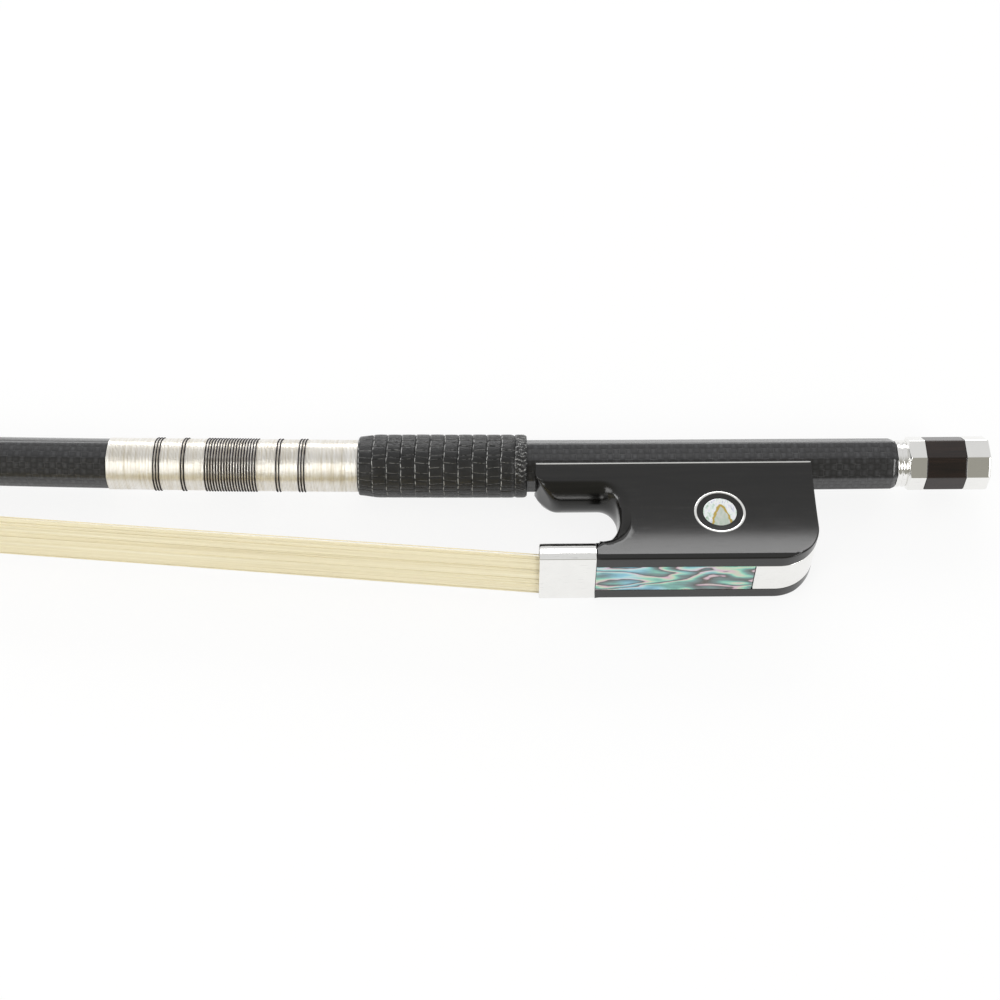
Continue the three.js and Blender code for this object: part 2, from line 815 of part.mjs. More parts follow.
function hairRibbon() {
  const slope = Math.tan(headTilt);
  const onLine = (x) => hairMouthY + (hairMouthX - x) * slope;
  const tipX = headBackX - headMortiseStart * Math.cos(headTilt);
  const rings = [
    hairRing(tipX, onLine(tipX), hairWidthMortise),
    hairRing(headBackX, onLine(headBackX), hairWidthHead),
    hairRing(hairMouthX, hairMouthY, hairWidthFrog),
    hairRing(frogFrontX + hairNarrowEnd, hairInnerY, hairWidthMortise),
    hairRing(frogFrontX + mortiseStart - hairEndGap, hairInnerY, hairWidthMortise),
  ];
  return loft(rings, zyPlane);
}

function ferruleWedge() {
  const start = tongueSetback;
  const end = start + wedgeLength;
  const hairTopAt = (along) => {
    const share = along / hairNarrowEnd;
    return hairMouthY + (hairInnerY - hairMouthY) * share + hairThickness / 2 + hairRidgeDepth / 2 + fitGap;
  };
  const top = -tongueBottom - fitGap;
  const outline = [
    fromFrogFront(start, top),
    fromFrogFront(start, hairTopAt(start)),
    fromFrogFront(end, Math.min(hairTopAt(end), top - wedgeTip)),
    fromFrogFront(end, top),
  ];
  const base = -frogDepth + ferruleWall;
  const reach = archReach(top - base, ferruleWidth / 2 - ferruleWall, ferruleHeight - ferruleWall * 2);
  return acrossZ(outline, (reach - fitGap * 3) * 2);
}

function frogKnot() {
  const width = hairWidthMortise;
  const wallX = frogFrontX + mortiseStart + fitGap;
  const centreY = -(mortiseRoof + fitGap + knotDiameter / 2);
  const knot = new THREE.CylinderGeometry(knotDiameter / 2, knotDiameter / 2, knotLength, 16);
  knot.rotateX(quarter).translate(wallX + knotDiameter / 2, centreY, 0);
  const tail = block(wallX, wallX + hairThickness, hairInnerY - hairThickness / 2, centreY, width);
  return solidOf(knot).add(solidOf(tail));
}

function frogPlug() {
  const endX = frogFrontX + mortiseStart + mortiseLength - fitGap;
  const bottom = channelTop + fitGap;
  return block(endX - plugLength, endX, bottom, bottom + plugHeight, mortiseWidth - fitGap * 2);
}

function slideBase() {
  const bottom = -frogDepth + inlayThickness + fitGap / 2;
  const body = alongX(
    dovetailLayer(bottom, channelTop - fitGap, fitGap / 2),
    frogFrontX + slideStart,
    frogFrontX + slideEnd,
  );
  const noseBottom = -frogDepth + ferruleWall + fitGap;
  const nose = block(
    frogFrontX + slideStart - slideNoseLength,
    frogFrontX + slideStart + slideNoseLength,
    Math.max(noseBottom, bottom),
    Math.max(noseBottom, bottom) + slideNoseThickness,
    slideNoseWidth,
  );
  return solidOf(body).add(solidOf(nose));
}

function slideInlay() {
  return alongX(
    dovetailLayer(-frogDepth, -frogDepth + inlayThickness, fitGap / 2),
    frogFrontX + slideStart,
    frogFrontX + slideEnd,
  );
}

function heelPlate() {
  return acrossZ(
    heelBand(0, heelPlateThickness, frogFrontX + slideEnd + fitGap * 2, -heelPlateTop),
    slideWidth,
  );
}

// Button and screw

const coreStart = collarLength + frontRingLength;
const capStart = coreStart + coreLength;
const buttonBore = screwDiameter + fitGap * 2;

function screw() {
  const headX = buttonLength - screwHeadDepth;
  return turnedX([
    [0, -screwReach],
    [screwNoseDiameter / 2, -screwReach],
    [screwNoseDiameter / 2, -(screwReach - screwNoseLength + runGap)],
    [screwDiameter / 2, -(screwReach - screwNoseLength + runGap) + (screwDiameter - screwNoseDiameter) / 2],
    [screwDiameter / 2, headX],
    [0, headX],
  ], 24);
}

function buttonFrontRing() {
  const radius = collarDiameter / 2;
  const waist = radius - collarGrooveDepth;
  const collar = turnedX([
    [0, fitGap],
    [waist, fitGap],
    [radius, collarLength * 0.25],
    [waist, collarLength * 0.5],
    [radius, collarLength * 0.75],
    [waist, collarLength],
    [waist, collarLength + fitGap],
    [0, collarLength + fitGap],
  ]);
  const rim = buttonFlats;
  const chamfer = turnedX([
    [0, collarLength],
    [radius, collarLength],
    [radius + frontRingChamfer, collarLength + frontRingChamfer],
    [rim, collarLength + frontRingChamfer],
    [rim, coreStart + overrun],
    [0, coreStart + overrun],
  ]);
  const ring = solidOf(alongX(octagon(buttonFlats), collarLength, coreStart)).intersect(solidOf(chamfer));
  const bore = rodX(buttonBore, -overrun, buttonLength);
  return solidOf(collar).add(ring).subtract(solidOf(bore));
}

function buttonCore() {
  const core = alongX(octagon(buttonFlats), coreStart + fitGap, capStart - fitGap);
  return solidOf(core).subtract(solidOf(rodX(buttonBore, -overrun, buttonLength)));
}

function buttonEndCap() {
  const ring = (x, share) => octagon(buttonFlats * share).map((p) => new THREE.Vector3(x, p.y, p.x));
  const rings = [
    ring(capStart, 1),
    ring(buttonLength - capRimLength, 1),
    ring(buttonLength - capFaceDrop, capRimShare),
    ring(buttonLength, capFaceShare),
  ];
  const bore = rodX(buttonBore, -overrun, buttonLength - screwHeadDepth + fitGap);
  return solidOf(loft(rings, zyPlane)).subtract(solidOf(bore));
}

// Grip and winding: sleeves that follow the cambered axis

const gripEndX = -(frogSetback + frogLength + gripGapToFrog);
const gripStartX = gripEndX - gripLength;
const windingEndX = gripStartX - fitGap;
const windingStartX = windingEndX - windingLength;

function sleeveOn(stations, outerFlats, cornerShare) {
  const outer = stations.map((x, i) => stickRing(x, outerFlats[i], cornerShare));
  const inner = stations.map((x) => stickRing(x, flatsAt(x) + fitGap * 2, cornerShareAt(x)));
  return sleeve(outer, inner);
}

function leatherGrip() {
  const middleX = (gripStartX + gripEndX) / 2;
  const stations = [
    gripStartX,
    gripStartX + gripNeckLength / 2,
    gripStartX + gripNeckLength,
    middleX,
    gripEndX - gripLipLength,
    gripEndX,
  ];
  const shoulder = (gripNeckDiameter + gripDiameter * 2) / 3;
  const flats = [gripNeckDiameter, shoulder, gripDiameter, gripDiameter, gripDiameter, gripLipDiameter];
  return sleeveOn(stations, flats, gripCornerShare);
}

function windingWire() {
  const steps = 6;
  const stations = Array.from({ length: steps + 1 }, (_, i) => windingStartX + (windingLength * i) / steps);
  return sleeveOn(stations, stations.map(() => windingFlats), windingCornerShare);
}

// One thread band: a single tube that climbs along the winding, its ends straight for one diameter.
function threadPath({ start, turns, pitch }) {
  const flats = windingFlats + (threadLift + threadDiameter / 2) * 2;
  const points = Array.from({ length: turns * stickSides + 1 }, (_, i) => {
    const angle = ringAngle(i);
    const x = windingStartX + start + (pitch * i) / stickSides;
    return offAxis(x, (flats / 2) * octagonStretch(angle, windingCornerShare), angle);
  });
  const lead = points[0].clone().sub(points[1]).setLength(threadDiameter).add(points[0]);
  const tail = points.at(-1).clone().sub(points.at(-2)).setLength(threadDiameter).add(points.at(-1));
  return [lead, ...points, tail];
}

function leastGap(path, turns) {
  if (turns < 2) return Infinity;
  let least = Infinity;
  const apart = Math.round(stickSides / 2);
  for (let i = 0; i < path.length; i += 1) {
    for (let j = i + apart; j < path.length; j += 1) {
      least = Math.min(least, path[i].distanceTo(path[j]));
    }
  }
  return least - threadDiameter;
}

function threadBand(band) {
  const path = threadPath(band);
  const rings = path.map((point, i) => {
    const before = path[Math.max(0, i - 1)];
    const after = path[Math.min(path.length - 1, i + 1)];
    const along = after.clone().sub(before).normalize();
    const out = new THREE.Vector3(0, point.y - axisRise(point.x), point.z).normalize();
    const across = along.clone().cross(out).normalize();
    const up = across.clone().cross(along);
    return Array.from({ length: threadSides }, (_, k) => {
      const angle = (Math.PI * 2 * (k + 0.5)) / threadSides;
      const radius = threadDiameter / 2;
      return point.clone()
        .addScaledVector(across, radius * Math.cos(angle))
        .addScaledVector(up, radius * Math.sin(angle));
    });
  });
  console.log(`thread of ${band.turns} turns: least gap ${leastGap(path, band.turns).toFixed(3)} mm`);
  return loft(rings, zyPlane);
}

// Assembly

const finishes = {
  carbon: { color: 0x35373b, roughness: 0.3, metalness: 0.1 },
  ebony: { color: 0x2b2421, roughness: 0.35, metalness: 0 },
  silver: { color: 0xd6d4d0, roughness: 0.25, metalness: 1 },
  steel: { color: 0xa7a9ac, roughness: 0.3, metalness: 1 },
  brass: { color: 0xc8a24a, roughness: 0.35, metalness: 1 },
  abalone: { color: 0x5fa9a0, roughness: 0.2, metalness: 0.2 },
  leather: { color: 0x1d1c1c, roughness: 0.55, metalness: 0 },
  thread: { color: 0x5a4650, roughness: 0.7, metalness: 0 },
  hair: { color: 0xebe0bd, roughness: 0.6, metalness: 0 },
  wood: { color: 0xc9a77a, roughness: 0.6, metalness: 0 },
  white: { color: 0xf0ece0, roughness: 0.4, metalness: 0 },
  liner: { color: 0x151515, roughness: 0.5, metalness: 0 },
};

const bow = new THREE.Group();

function addPiece(name, shape, finish) {
  const geometry = welded(shape instanceof THREE.BufferGeometry ? shape : geometryOf(shape));
  geometry.computeVertexNormals();
  const mesh = new THREE.Mesh(geometry, new THREE.MeshStandardMaterial(finishes[finish]));
  mesh.name = name;
  bow.add(mesh);
}

addPiece('stick', stickSolid(), 'carbon');
addPiece('head_liner', headPlatePiece(headPlateThickness + fitGap, headLinerThickness), 'liner');
addPiece('head_plate', headPlatePiece(0, headPlateThickness), 'white');
addPiece('head_plug', headPlug(), 'wood');
addPiece('head_hair_knot', headKnot(), 'hair');
addPiece('hair_ribbon', hairRibbon(), 'hair');
addPiece('winding_wire', windingWire(), 'silver');
threadBands.forEach((band, i) => addPiece(`thread_band_${i + 1}`, threadBand(band), 'thread'));
addPiece('leather_grip', leatherGrip(), 'leather');

addPiece('frog', frogSolid(), 'ebony');
addPiece('underslide', underslide(), 'silver');
addPiece('eyelet', eyelet(), 'brass');
addPiece('ferrule', ferrule(), 'silver');
addPiece('ferrule_wedge', ferruleWedge(), 'wood');
addPiece('frog_plug', frogPlug(), 'wood');
addPiece('frog_hair_knot', frogKnot(), 'hair');
addPiece('slide', slideBase(), 'ebony');
addPiece('slide_inlay', slideInlay(), 'abalone');
addPiece('heel_plate', heelPlate(), 'silver');
addPiece('eye_ring_near', eyeRing(1), 'silver');
addPiece('eye_ring_far', eyeRing(-1), 'silver');
addPiece('eye_dot_near', eyeDot(1), 'abalone');
addPiece('eye_dot_far', eyeDot(-1), 'abalone');

addPiece('screw', screw(), 'steel');
addPiece('button_front_ring', buttonFrontRing(), 'silver');
addPiece('button_core', buttonCore(), 'ebony');
addPiece('button_end_cap', buttonEndCap(), 'silver');

// The origin is under the middle of the bow, on the surface that it lies on.
const box = new THREE.Box3().setFromObject(bow);
const middle = box.getCenter(new THREE.Vector3());
bow.position.set(-middle.x, -middle.y, -box.min.z);

export default bow;
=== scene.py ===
import math

import bmesh
import bpy
import numpy as np
from mathutils import Matrix, Vector
from mathutils.geometry import delaunay_2d_cdt


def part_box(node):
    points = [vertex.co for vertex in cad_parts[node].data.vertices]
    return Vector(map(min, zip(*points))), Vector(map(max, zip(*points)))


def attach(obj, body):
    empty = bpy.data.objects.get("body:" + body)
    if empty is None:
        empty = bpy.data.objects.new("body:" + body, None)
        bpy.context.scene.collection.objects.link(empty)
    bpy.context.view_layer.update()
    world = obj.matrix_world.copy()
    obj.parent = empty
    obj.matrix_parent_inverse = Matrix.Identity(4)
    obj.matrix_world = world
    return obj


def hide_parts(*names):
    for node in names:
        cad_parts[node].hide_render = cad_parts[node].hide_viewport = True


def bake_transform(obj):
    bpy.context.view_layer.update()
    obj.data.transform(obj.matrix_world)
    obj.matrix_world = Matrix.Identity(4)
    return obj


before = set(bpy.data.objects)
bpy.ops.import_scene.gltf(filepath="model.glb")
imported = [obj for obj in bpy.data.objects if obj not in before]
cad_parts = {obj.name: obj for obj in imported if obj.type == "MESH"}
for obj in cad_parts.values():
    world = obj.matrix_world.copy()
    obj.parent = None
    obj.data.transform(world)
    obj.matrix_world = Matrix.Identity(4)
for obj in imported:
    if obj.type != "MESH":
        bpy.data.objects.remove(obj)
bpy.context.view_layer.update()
pi = math.pi

# Pieces are worked out in millimetres from the stick's button end: x along the handle, y away from
# the hair, z up, all from the handle's axis. rowShift brings them into the row frame.
bow = {"buttonLength": 18.0, "frogFront": -70.3, "stickEnd": -697.0}
capLow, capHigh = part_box("button_end_cap")
rowShift = np.array([capHigh.x * 1000 - bow["buttonLength"],
                     (capLow.y + capHigh.y) * 500, (capLow.z + capHigh.z) * 500])


# Camera: at the photograph's angle, level with the middle of what it shows.
camera = {"target": (0.26227, -0.02062, 0.00357), "place": (0.26227, -0.22352, 0.31602),
          "lens": 68.4, "roll": -0.0078}
eye = bpy.data.cameras.new("bowCamera")
eye.lens, eye.sensor_width, eye.clip_start, eye.clip_end = camera["lens"], 36, 0.01, 60
eyeObject = bpy.data.objects.new("bowCamera", eye)
bpy.context.scene.collection.objects.link(eyeObject)
aim = (Vector(camera["target"]) - Vector(camera["place"])).to_track_quat("-Z", "Y").to_matrix()
eyeObject.matrix_world = (Matrix.Translation(camera["place"])
                          @ (aim @ Matrix.Rotation(camera["roll"], 3, "Z")).to_4x4())
bpy.context.scene.camera = eyeObject


# A grid of points [rows, columns, 3] joined by quads; capped closes its first and last row flat.
def gridPart(points, uv=None, capped=False):
    rows, cols = points.shape[:2]
    index = np.arange(rows * cols).reshape(rows, cols)
    quads = np.stack([index[:-1, :-1], index[:-1, 1:], index[1:, 1:], index[1:, :-1]], -1)
    caps = [index[0, :-1], index[-1, :-1]] if capped else []
    if uv is None:
        uv = np.zeros((rows, cols, 2))
    return points.reshape(-1, 3), [quads.reshape(-1, 4)] + [c[None] for c in caps], uv.reshape(-1, 2)


# Joins parts into one mesh in the row frame, closes its seams, turns its faces out and sets it riding.
def makePiece(name, parts, material, body=None, replaced=(), crease=40.0, tone=None):
    starts = np.cumsum([0] + [len(part[0]) for part in parts])
    points = (np.concatenate([part[0] for part in parts]) + rowShift) * 0.001
    uvs = np.concatenate([part[2] for part in parts])
    faces = [face for part, start in zip(parts, starts) for block in part[1]
             for face in (np.asarray(block) + start).tolist()]
    mesh = bpy.data.meshes.new(name)
    mesh.from_pydata(points.tolist(), [], faces)
    corners = np.zeros(len(mesh.loops), np.int32)
    mesh.loops.foreach_get("vertex_index", corners)
    mesh.uv_layers.new(name="pieceUv").data.foreach_set("uv", uvs[corners].astype(np.float32).ravel())
    if tone is not None:
        tones = mesh.attributes.new("paintedGlintLayer", "FLOAT", "POINT").data
        tones.foreach_set("value", tone.astype(np.float32).ravel())
    work = bmesh.new()
    work.from_mesh(mesh)
    bmesh.ops.remove_doubles(work, verts=work.verts, dist=2e-6)
    bmesh.ops.recalc_face_normals(work, faces=work.faces)
    work.to_mesh(mesh)
    work.free()
    mesh.polygons.foreach_set("use_smooth", np.ones(len(mesh.polygons), bool))
    mesh.set_sharp_from_angle(angle=math.radians(crease))
    mesh.materials.append(material)
    piece = bpy.data.objects.new(name, mesh)
    bpy.context.scene.collection.objects.link(piece)
    if body:
        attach(piece, body)
    if replaced:
        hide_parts(*replaced)
    print(f"{name}: {len(mesh.polygons)} faces")
    return piece


# Vectors over their own length.
def unit(v):
    return v / np.maximum(np.linalg.norm(v, axis=-1, keepdims=True), 1e-12)


# A circle of the radius carried along a path; outward is the side that counts as up at each point.
# ripple twists a two-strand lay into it: radius times one plus ripple times cos(2 angle - lay).
def tubePart(path, radius, sides, outward, ripple=0.0, lay=0.0):
    along = unit(np.gradient(path, axis=0))
    across = unit(np.cross(along, outward))
    up = np.cross(across, along)
    angle = np.linspace(0, 2 * pi, sides + 1)
    length = np.concatenate([[0], np.cumsum(np.linalg.norm(np.diff(path, axis=0), axis=1))])
    reach = np.broadcast_to(radius, len(path))[:, None] * (
        1 + ripple * np.cos(2 * angle[None] - lay * length[:, None]))
    ring = across[:, None] * np.cos(angle)[None, :, None] + up[:, None] * np.sin(angle)[None, :, None]
    points = path[:, None] + ring * reach[..., None]
    uv = np.stack(np.broadcast_arrays(length[:, None], (angle / (2 * pi))[None]), -1)
    return gridPart(points, uv, capped=True)


# Smooth line through key rows (Catmull-Rom), evenly sampled from the first key to the last.
def smoothLine(keys, count):
    keys = np.asarray(keys, float)
    padded = np.vstack([2 * keys[0] - keys[1], keys, 2 * keys[-1] - keys[-2]])
    t = np.linspace(0, len(keys) - 1, count)
    i = np.minimum(t.astype(int), len(keys) - 2)
    f = (t - i)[:, None]
    a, b, c, d = padded[i], padded[i + 1], padded[i + 2], padded[i + 3]
    return 0.5 * (2 * b + (c - a) * f + (2 * a - 5 * b + 4 * c - d) * f ** 2
                  + (3 * b - a - 3 * c + d) * f ** 3)


# Smooth seeded wander in -1..1, lines of it side by side: a new value every step samples.
def wander(count, step, seed, lines=1):
    keys = np.random.default_rng(seed).uniform(-1, 1, (int(count / step) + 3, lines))
    fine = smoothLine(keys, (len(keys) - 1) * 12 + 1)
    at = np.minimum((np.arange(count) / step * 12).astype(int), len(fine) - 1)
    return fine[at]


# Three x squared minus two x cubed, between 0 and 1.
def smoothStep(x):
    x = np.clip(x, 0, 1)
    return x * x * (3 - 2 * x)


# Shader nodes: inputs are set by name or place, links join a socket to an input.
def addNode(tree, kind, values=None, links=None, **settings):
    node = tree.nodes.new(kind)
    for key, value in settings.items():
        setattr(node, key, value)
    for key, value in (values or {}).items():
        node.inputs[key].default_value = value
    for key, socket in (links or {}).items():
        tree.links.new(socket, node.inputs[key])
    return node


def calc(tree, operation, first, second=None):
    node = tree.nodes.new("ShaderNodeMath")
    node.operation = operation
    for place, value in enumerate((first, second)):
        if value is None:
            continue
        if isinstance(value, (int, float)):
            node.inputs[place].default_value = value
        else:
            tree.links.new(value, node.inputs[place])
    return node.outputs[0]


def times(tree, first, second):
    return calc(tree, "MULTIPLY", first, second)


def plus(tree, first, second):
    return calc(tree, "ADD", first, second)


def minus(tree, first, second):
    return calc(tree, "SUBTRACT", first, second)


# From low to high the result goes smoothly from toLow to toHigh, and stays there outside them.
def spread(tree, value, low, high, toLow=0.0, toHigh=1.0):
    node = addNode(tree, "ShaderNodeMapRange", {1: low, 2: high, 3: toLow, 4: toHigh}, {0: value})
    node.interpolation_type = "SMOOTHSTEP"
    return node.outputs[0]


def ramp(tree, value, stops):
    node = addNode(tree, "ShaderNodeValToRGB", links={0: value})
    elements = node.color_ramp.elements
    while len(elements) < len(stops):
        elements.new(0.5)
    for element, (place, color) in zip(elements, stops):
        element.position, element.color = place, (*color, 1)
    return node.outputs[0]


def blendColor(tree, factor, first, second):
    node = tree.nodes.new("ShaderNodeMix")
    node.data_type = "RGBA"
    for place, value in ((0, factor), (6, first), (7, second)):  # places of the colour sockets
        if hasattr(value, "is_linked"):
            tree.links.new(value, node.inputs[place])
        else:
            node.inputs[place].default_value = value if place == 0 else (*value, 1)
    return node.outputs[2]


def noise(tree, vector, scale, detail=2.0, rough=0.5, distortion=0.0):
    values = {"Scale": scale, "Detail": detail, "Roughness": rough, "Distortion": distortion}
    return addNode(tree, "ShaderNodeTexNoise", values, {"Vector": vector}).outputs[0]


def stretched(tree, vector, scale, turn=(0, 0, 0)):
    node = addNode(tree, "ShaderNodeMapping", {"Scale": scale, "Rotation": turn}, {"Vector": vector})
    return node.outputs[0]


def newGroup(name, inputs, outputs):
    tree = bpy.data.node_groups.new(name, "ShaderNodeTree")
    for label, kind, value in inputs:
        socket = tree.interface.new_socket(label, in_out="INPUT", socket_type=kind)
        if value is not None:
            socket.default_value = value
    for label, kind in outputs:
        tree.interface.new_socket(label, in_out="OUTPUT", socket_type=kind)
    return tree, tree.nodes.new("NodeGroupInput").outputs, tree.nodes.new("NodeGroupOutput").inputs


def placeGroup(tree, group, vector, values):
    node = tree.nodes.new("ShaderNodeGroup")
    node.node_tree = group
    tree.links.new(vector, node.inputs["Vector"])
    for key, value in values.items():
        node.inputs[key].default_value = value
    return node.outputs


# Grain: long streaks and short pores, drawn out along the first axis.
def grainGroup():
    tree, source, result = newGroup(
        "woodGrain", [("Vector", "NodeSocketVector", None), ("Fineness", "NodeSocketFloat", 900.0)],
        [("Streak", "NodeSocketFloat"), ("Pores", "NodeSocketFloat"), ("Height", "NodeSocketFloat")])
    flat = stretched(tree, source["Vector"], (0.045, 1, 1))
    long = addNode(tree, "ShaderNodeTexNoise", {"Detail": 4.0, "Roughness": 0.6},
                   {"Vector": flat, "Scale": source["Fineness"]})
    fine = addNode(tree, "ShaderNodeTexNoise", {"Detail": 2.0, "Roughness": 0.5},
                   {"Vector": flat, "Scale": times(tree, source["Fineness"], 4.5)})
    streak = plus(tree, times(tree, long.outputs[0], 0.65), times(tree, fine.outputs[0], 0.35))
    pores = spread(tree, fine.outputs[0], 0.6, 0.72)
    tree.links.new(streak, result["Streak"])
    tree.links.new(pores, result["Pores"])
    tree.links.new(minus(tree, streak, times(tree, pores, 0.5)), result["Height"])
    return tree


# Wear: cloudy handling marks and fine scratches that cross each other.
def wearGroup():
    tree, source, result = newGroup(
        "handlingWear", [("Vector", "NodeSocketVector", None), ("Amount", "NodeSocketFloat", 0.5)],
        [("Smudge", "NodeSocketFloat"), ("Scratch", "NodeSocketFloat"), ("Height", "NodeSocketFloat")])
    smudge = noise(tree, source["Vector"], 260.0, 5.0, 0.62, 0.6)
    lines = [noise(tree, stretched(tree, source["Vector"], (1, 1, 1), turn), 700.0, 3.0)
             for turn in ((0.3, 0.5, 0.4), (1.1, 0.2, 1.3))]
    drawn = [noise(tree, stretched(tree, source["Vector"], (0.06, 1, 1), turn), 4200.0, 1.0)
             for turn in ((0.2, 0.3, 0.9), (0.5, 1.0, 2.2))]
    scratch = calc(tree, "MAXIMUM", *[
        times(tree, spread(tree, line, 0.66, 0.7), spread(tree, patch, 0.5, 0.62))
        for line, patch in zip(drawn, lines)])
    scratch = times(tree, scratch, source["Amount"])
    tree.links.new(times(tree, smudge, source["Amount"]), result["Smudge"])
    tree.links.new(scratch, result["Scratch"])
    tree.links.new(minus(tree, 1.0, scratch), result["Height"])
    return tree


# Strands: fine lines that run along the first coordinate, for hair, thread and drawn wire.
def strandGroup():
    tree, source, result = newGroup(
        "strandLines", [("Vector", "NodeSocketVector", None), ("Along", "NodeSocketFloat", 0.02),
                        ("Across", "NodeSocketFloat", 120.0)],
        [("Line", "NodeSocketFloat"), ("Tone", "NodeSocketFloat")])
    parts = addNode(tree, "ShaderNodeSeparateXYZ", links={0: source["Vector"]}).outputs
    joined = addNode(tree, "ShaderNodeCombineXYZ", links={
        0: times(tree, parts[0], source["Along"]),
        1: times(tree, parts[1], source["Across"]), 2: parts[2]}).outputs[0]
    tree.links.new(noise(tree, joined, 1.0, 3.0, 0.7), result["Line"])
    tree.links.new(noise(tree, joined, 0.17, 2.0, 0.6), result["Tone"])
    return tree


# Shell: growth layers as a sawtooth of a slanted, wavy field. Each layer runs from dark through
# blue-green and mint to rose and ends at a dark brown line.
def shellGroup():
    tree, source, result = newGroup("shellLayers", [("Vector", "NodeSocketVector", None)], [
        ("Color", "NodeSocketColor"), ("Seam", "NodeSocketFloat"), ("Height", "NodeSocketFloat")])
    parts = addNode(tree, "ShaderNodeSeparateXYZ", links={0: source["Vector"]}).outputs
    slant = plus(tree, times(tree, parts[2], 165.0), times(tree, parts[0], -70.0))
    waves = noise(tree, stretched(tree, source["Vector"], (0.34, 1, 1)), 290.0, 1.0, 0.5, 0.25)
    ripple = noise(tree, stretched(tree, source["Vector"], (0.35, 1, 1)), 1300.0, 2.0)
    field = plus(tree, slant, plus(tree, times(tree, waves, 4.6), times(tree, ripple, 0.3)))
    layer = calc(tree, "FRACT", field)
    fine = noise(tree, stretched(tree, source["Vector"], (0.1, 1, 1), (0, 0.16, 0)), 3400.0, 3.0, 0.6)
    shade = plus(tree, layer, times(tree, minus(tree, fine, 0.5), 0.45))
    teal = ramp(tree, shade, [
        (0.05, (0.07, 0.1, 0.1)), (0.3, (0.12, 0.2, 0.2)), (0.46, (0.13, 0.38, 0.34)),
        (0.62, (0.27, 0.66, 0.5)), (0.78, (0.6, 0.66, 0.5)), (0.95, (0.66, 0.42, 0.56))])
    blue = ramp(tree, shade, [
        (0.05, (0.08, 0.14, 0.17)), (0.3, (0.14, 0.38, 0.5)), (0.55, (0.24, 0.56, 0.72)),
        (0.75, (0.42, 0.7, 0.72)), (0.94, (0.66, 0.6, 0.74))])
    hue = noise(tree, stretched(tree, source["Vector"], (0.6, 1, 1)), 150.0, 1.0)
    color = blendColor(tree, spread(tree, hue, 0.44, 0.6), teal, blue)
    seam = calc(tree, "MAXIMUM", spread(tree, layer, 0.0, 0.1, 1.0, 0.0), spread(tree, layer, 0.93, 1.0))
    tree.links.new(blendColor(tree, times(tree, seam, 0.9), color, (0.055, 0.045, 0.025)),
                   result["Color"])
    tree.links.new(seam, result["Seam"])
    tree.links.new(plus(tree, fine, times(tree, seam, -0.6)), result["Height"])
    return tree


groups = {"grain": grainGroup(), "wear": wearGroup(), "strand": strandGroup(), "shell": shellGroup()}


def newMaterial(name, **values):
    material = bpy.data.materials.new(name)
    material.use_nodes = True
    tree = material.node_tree
    shader = tree.nodes["Principled BSDF"]
    for key, value in values.items():
        socket = shader.inputs[key.replace("_", " ")]
        socket.default_value = (*value, 1) if isinstance(value, tuple) else value
    place = tree.nodes.new("ShaderNodeTexCoord").outputs
    return material, tree, shader, place["Object"], place["UV"]


def bumped(tree, shader, height, strength, distance):
    node = addNode(tree, "ShaderNodeBump", {"Strength": strength, "Distance": distance},
                   {"Height": height})
    tree.links.new(node.outputs[0], shader.inputs["Normal"])


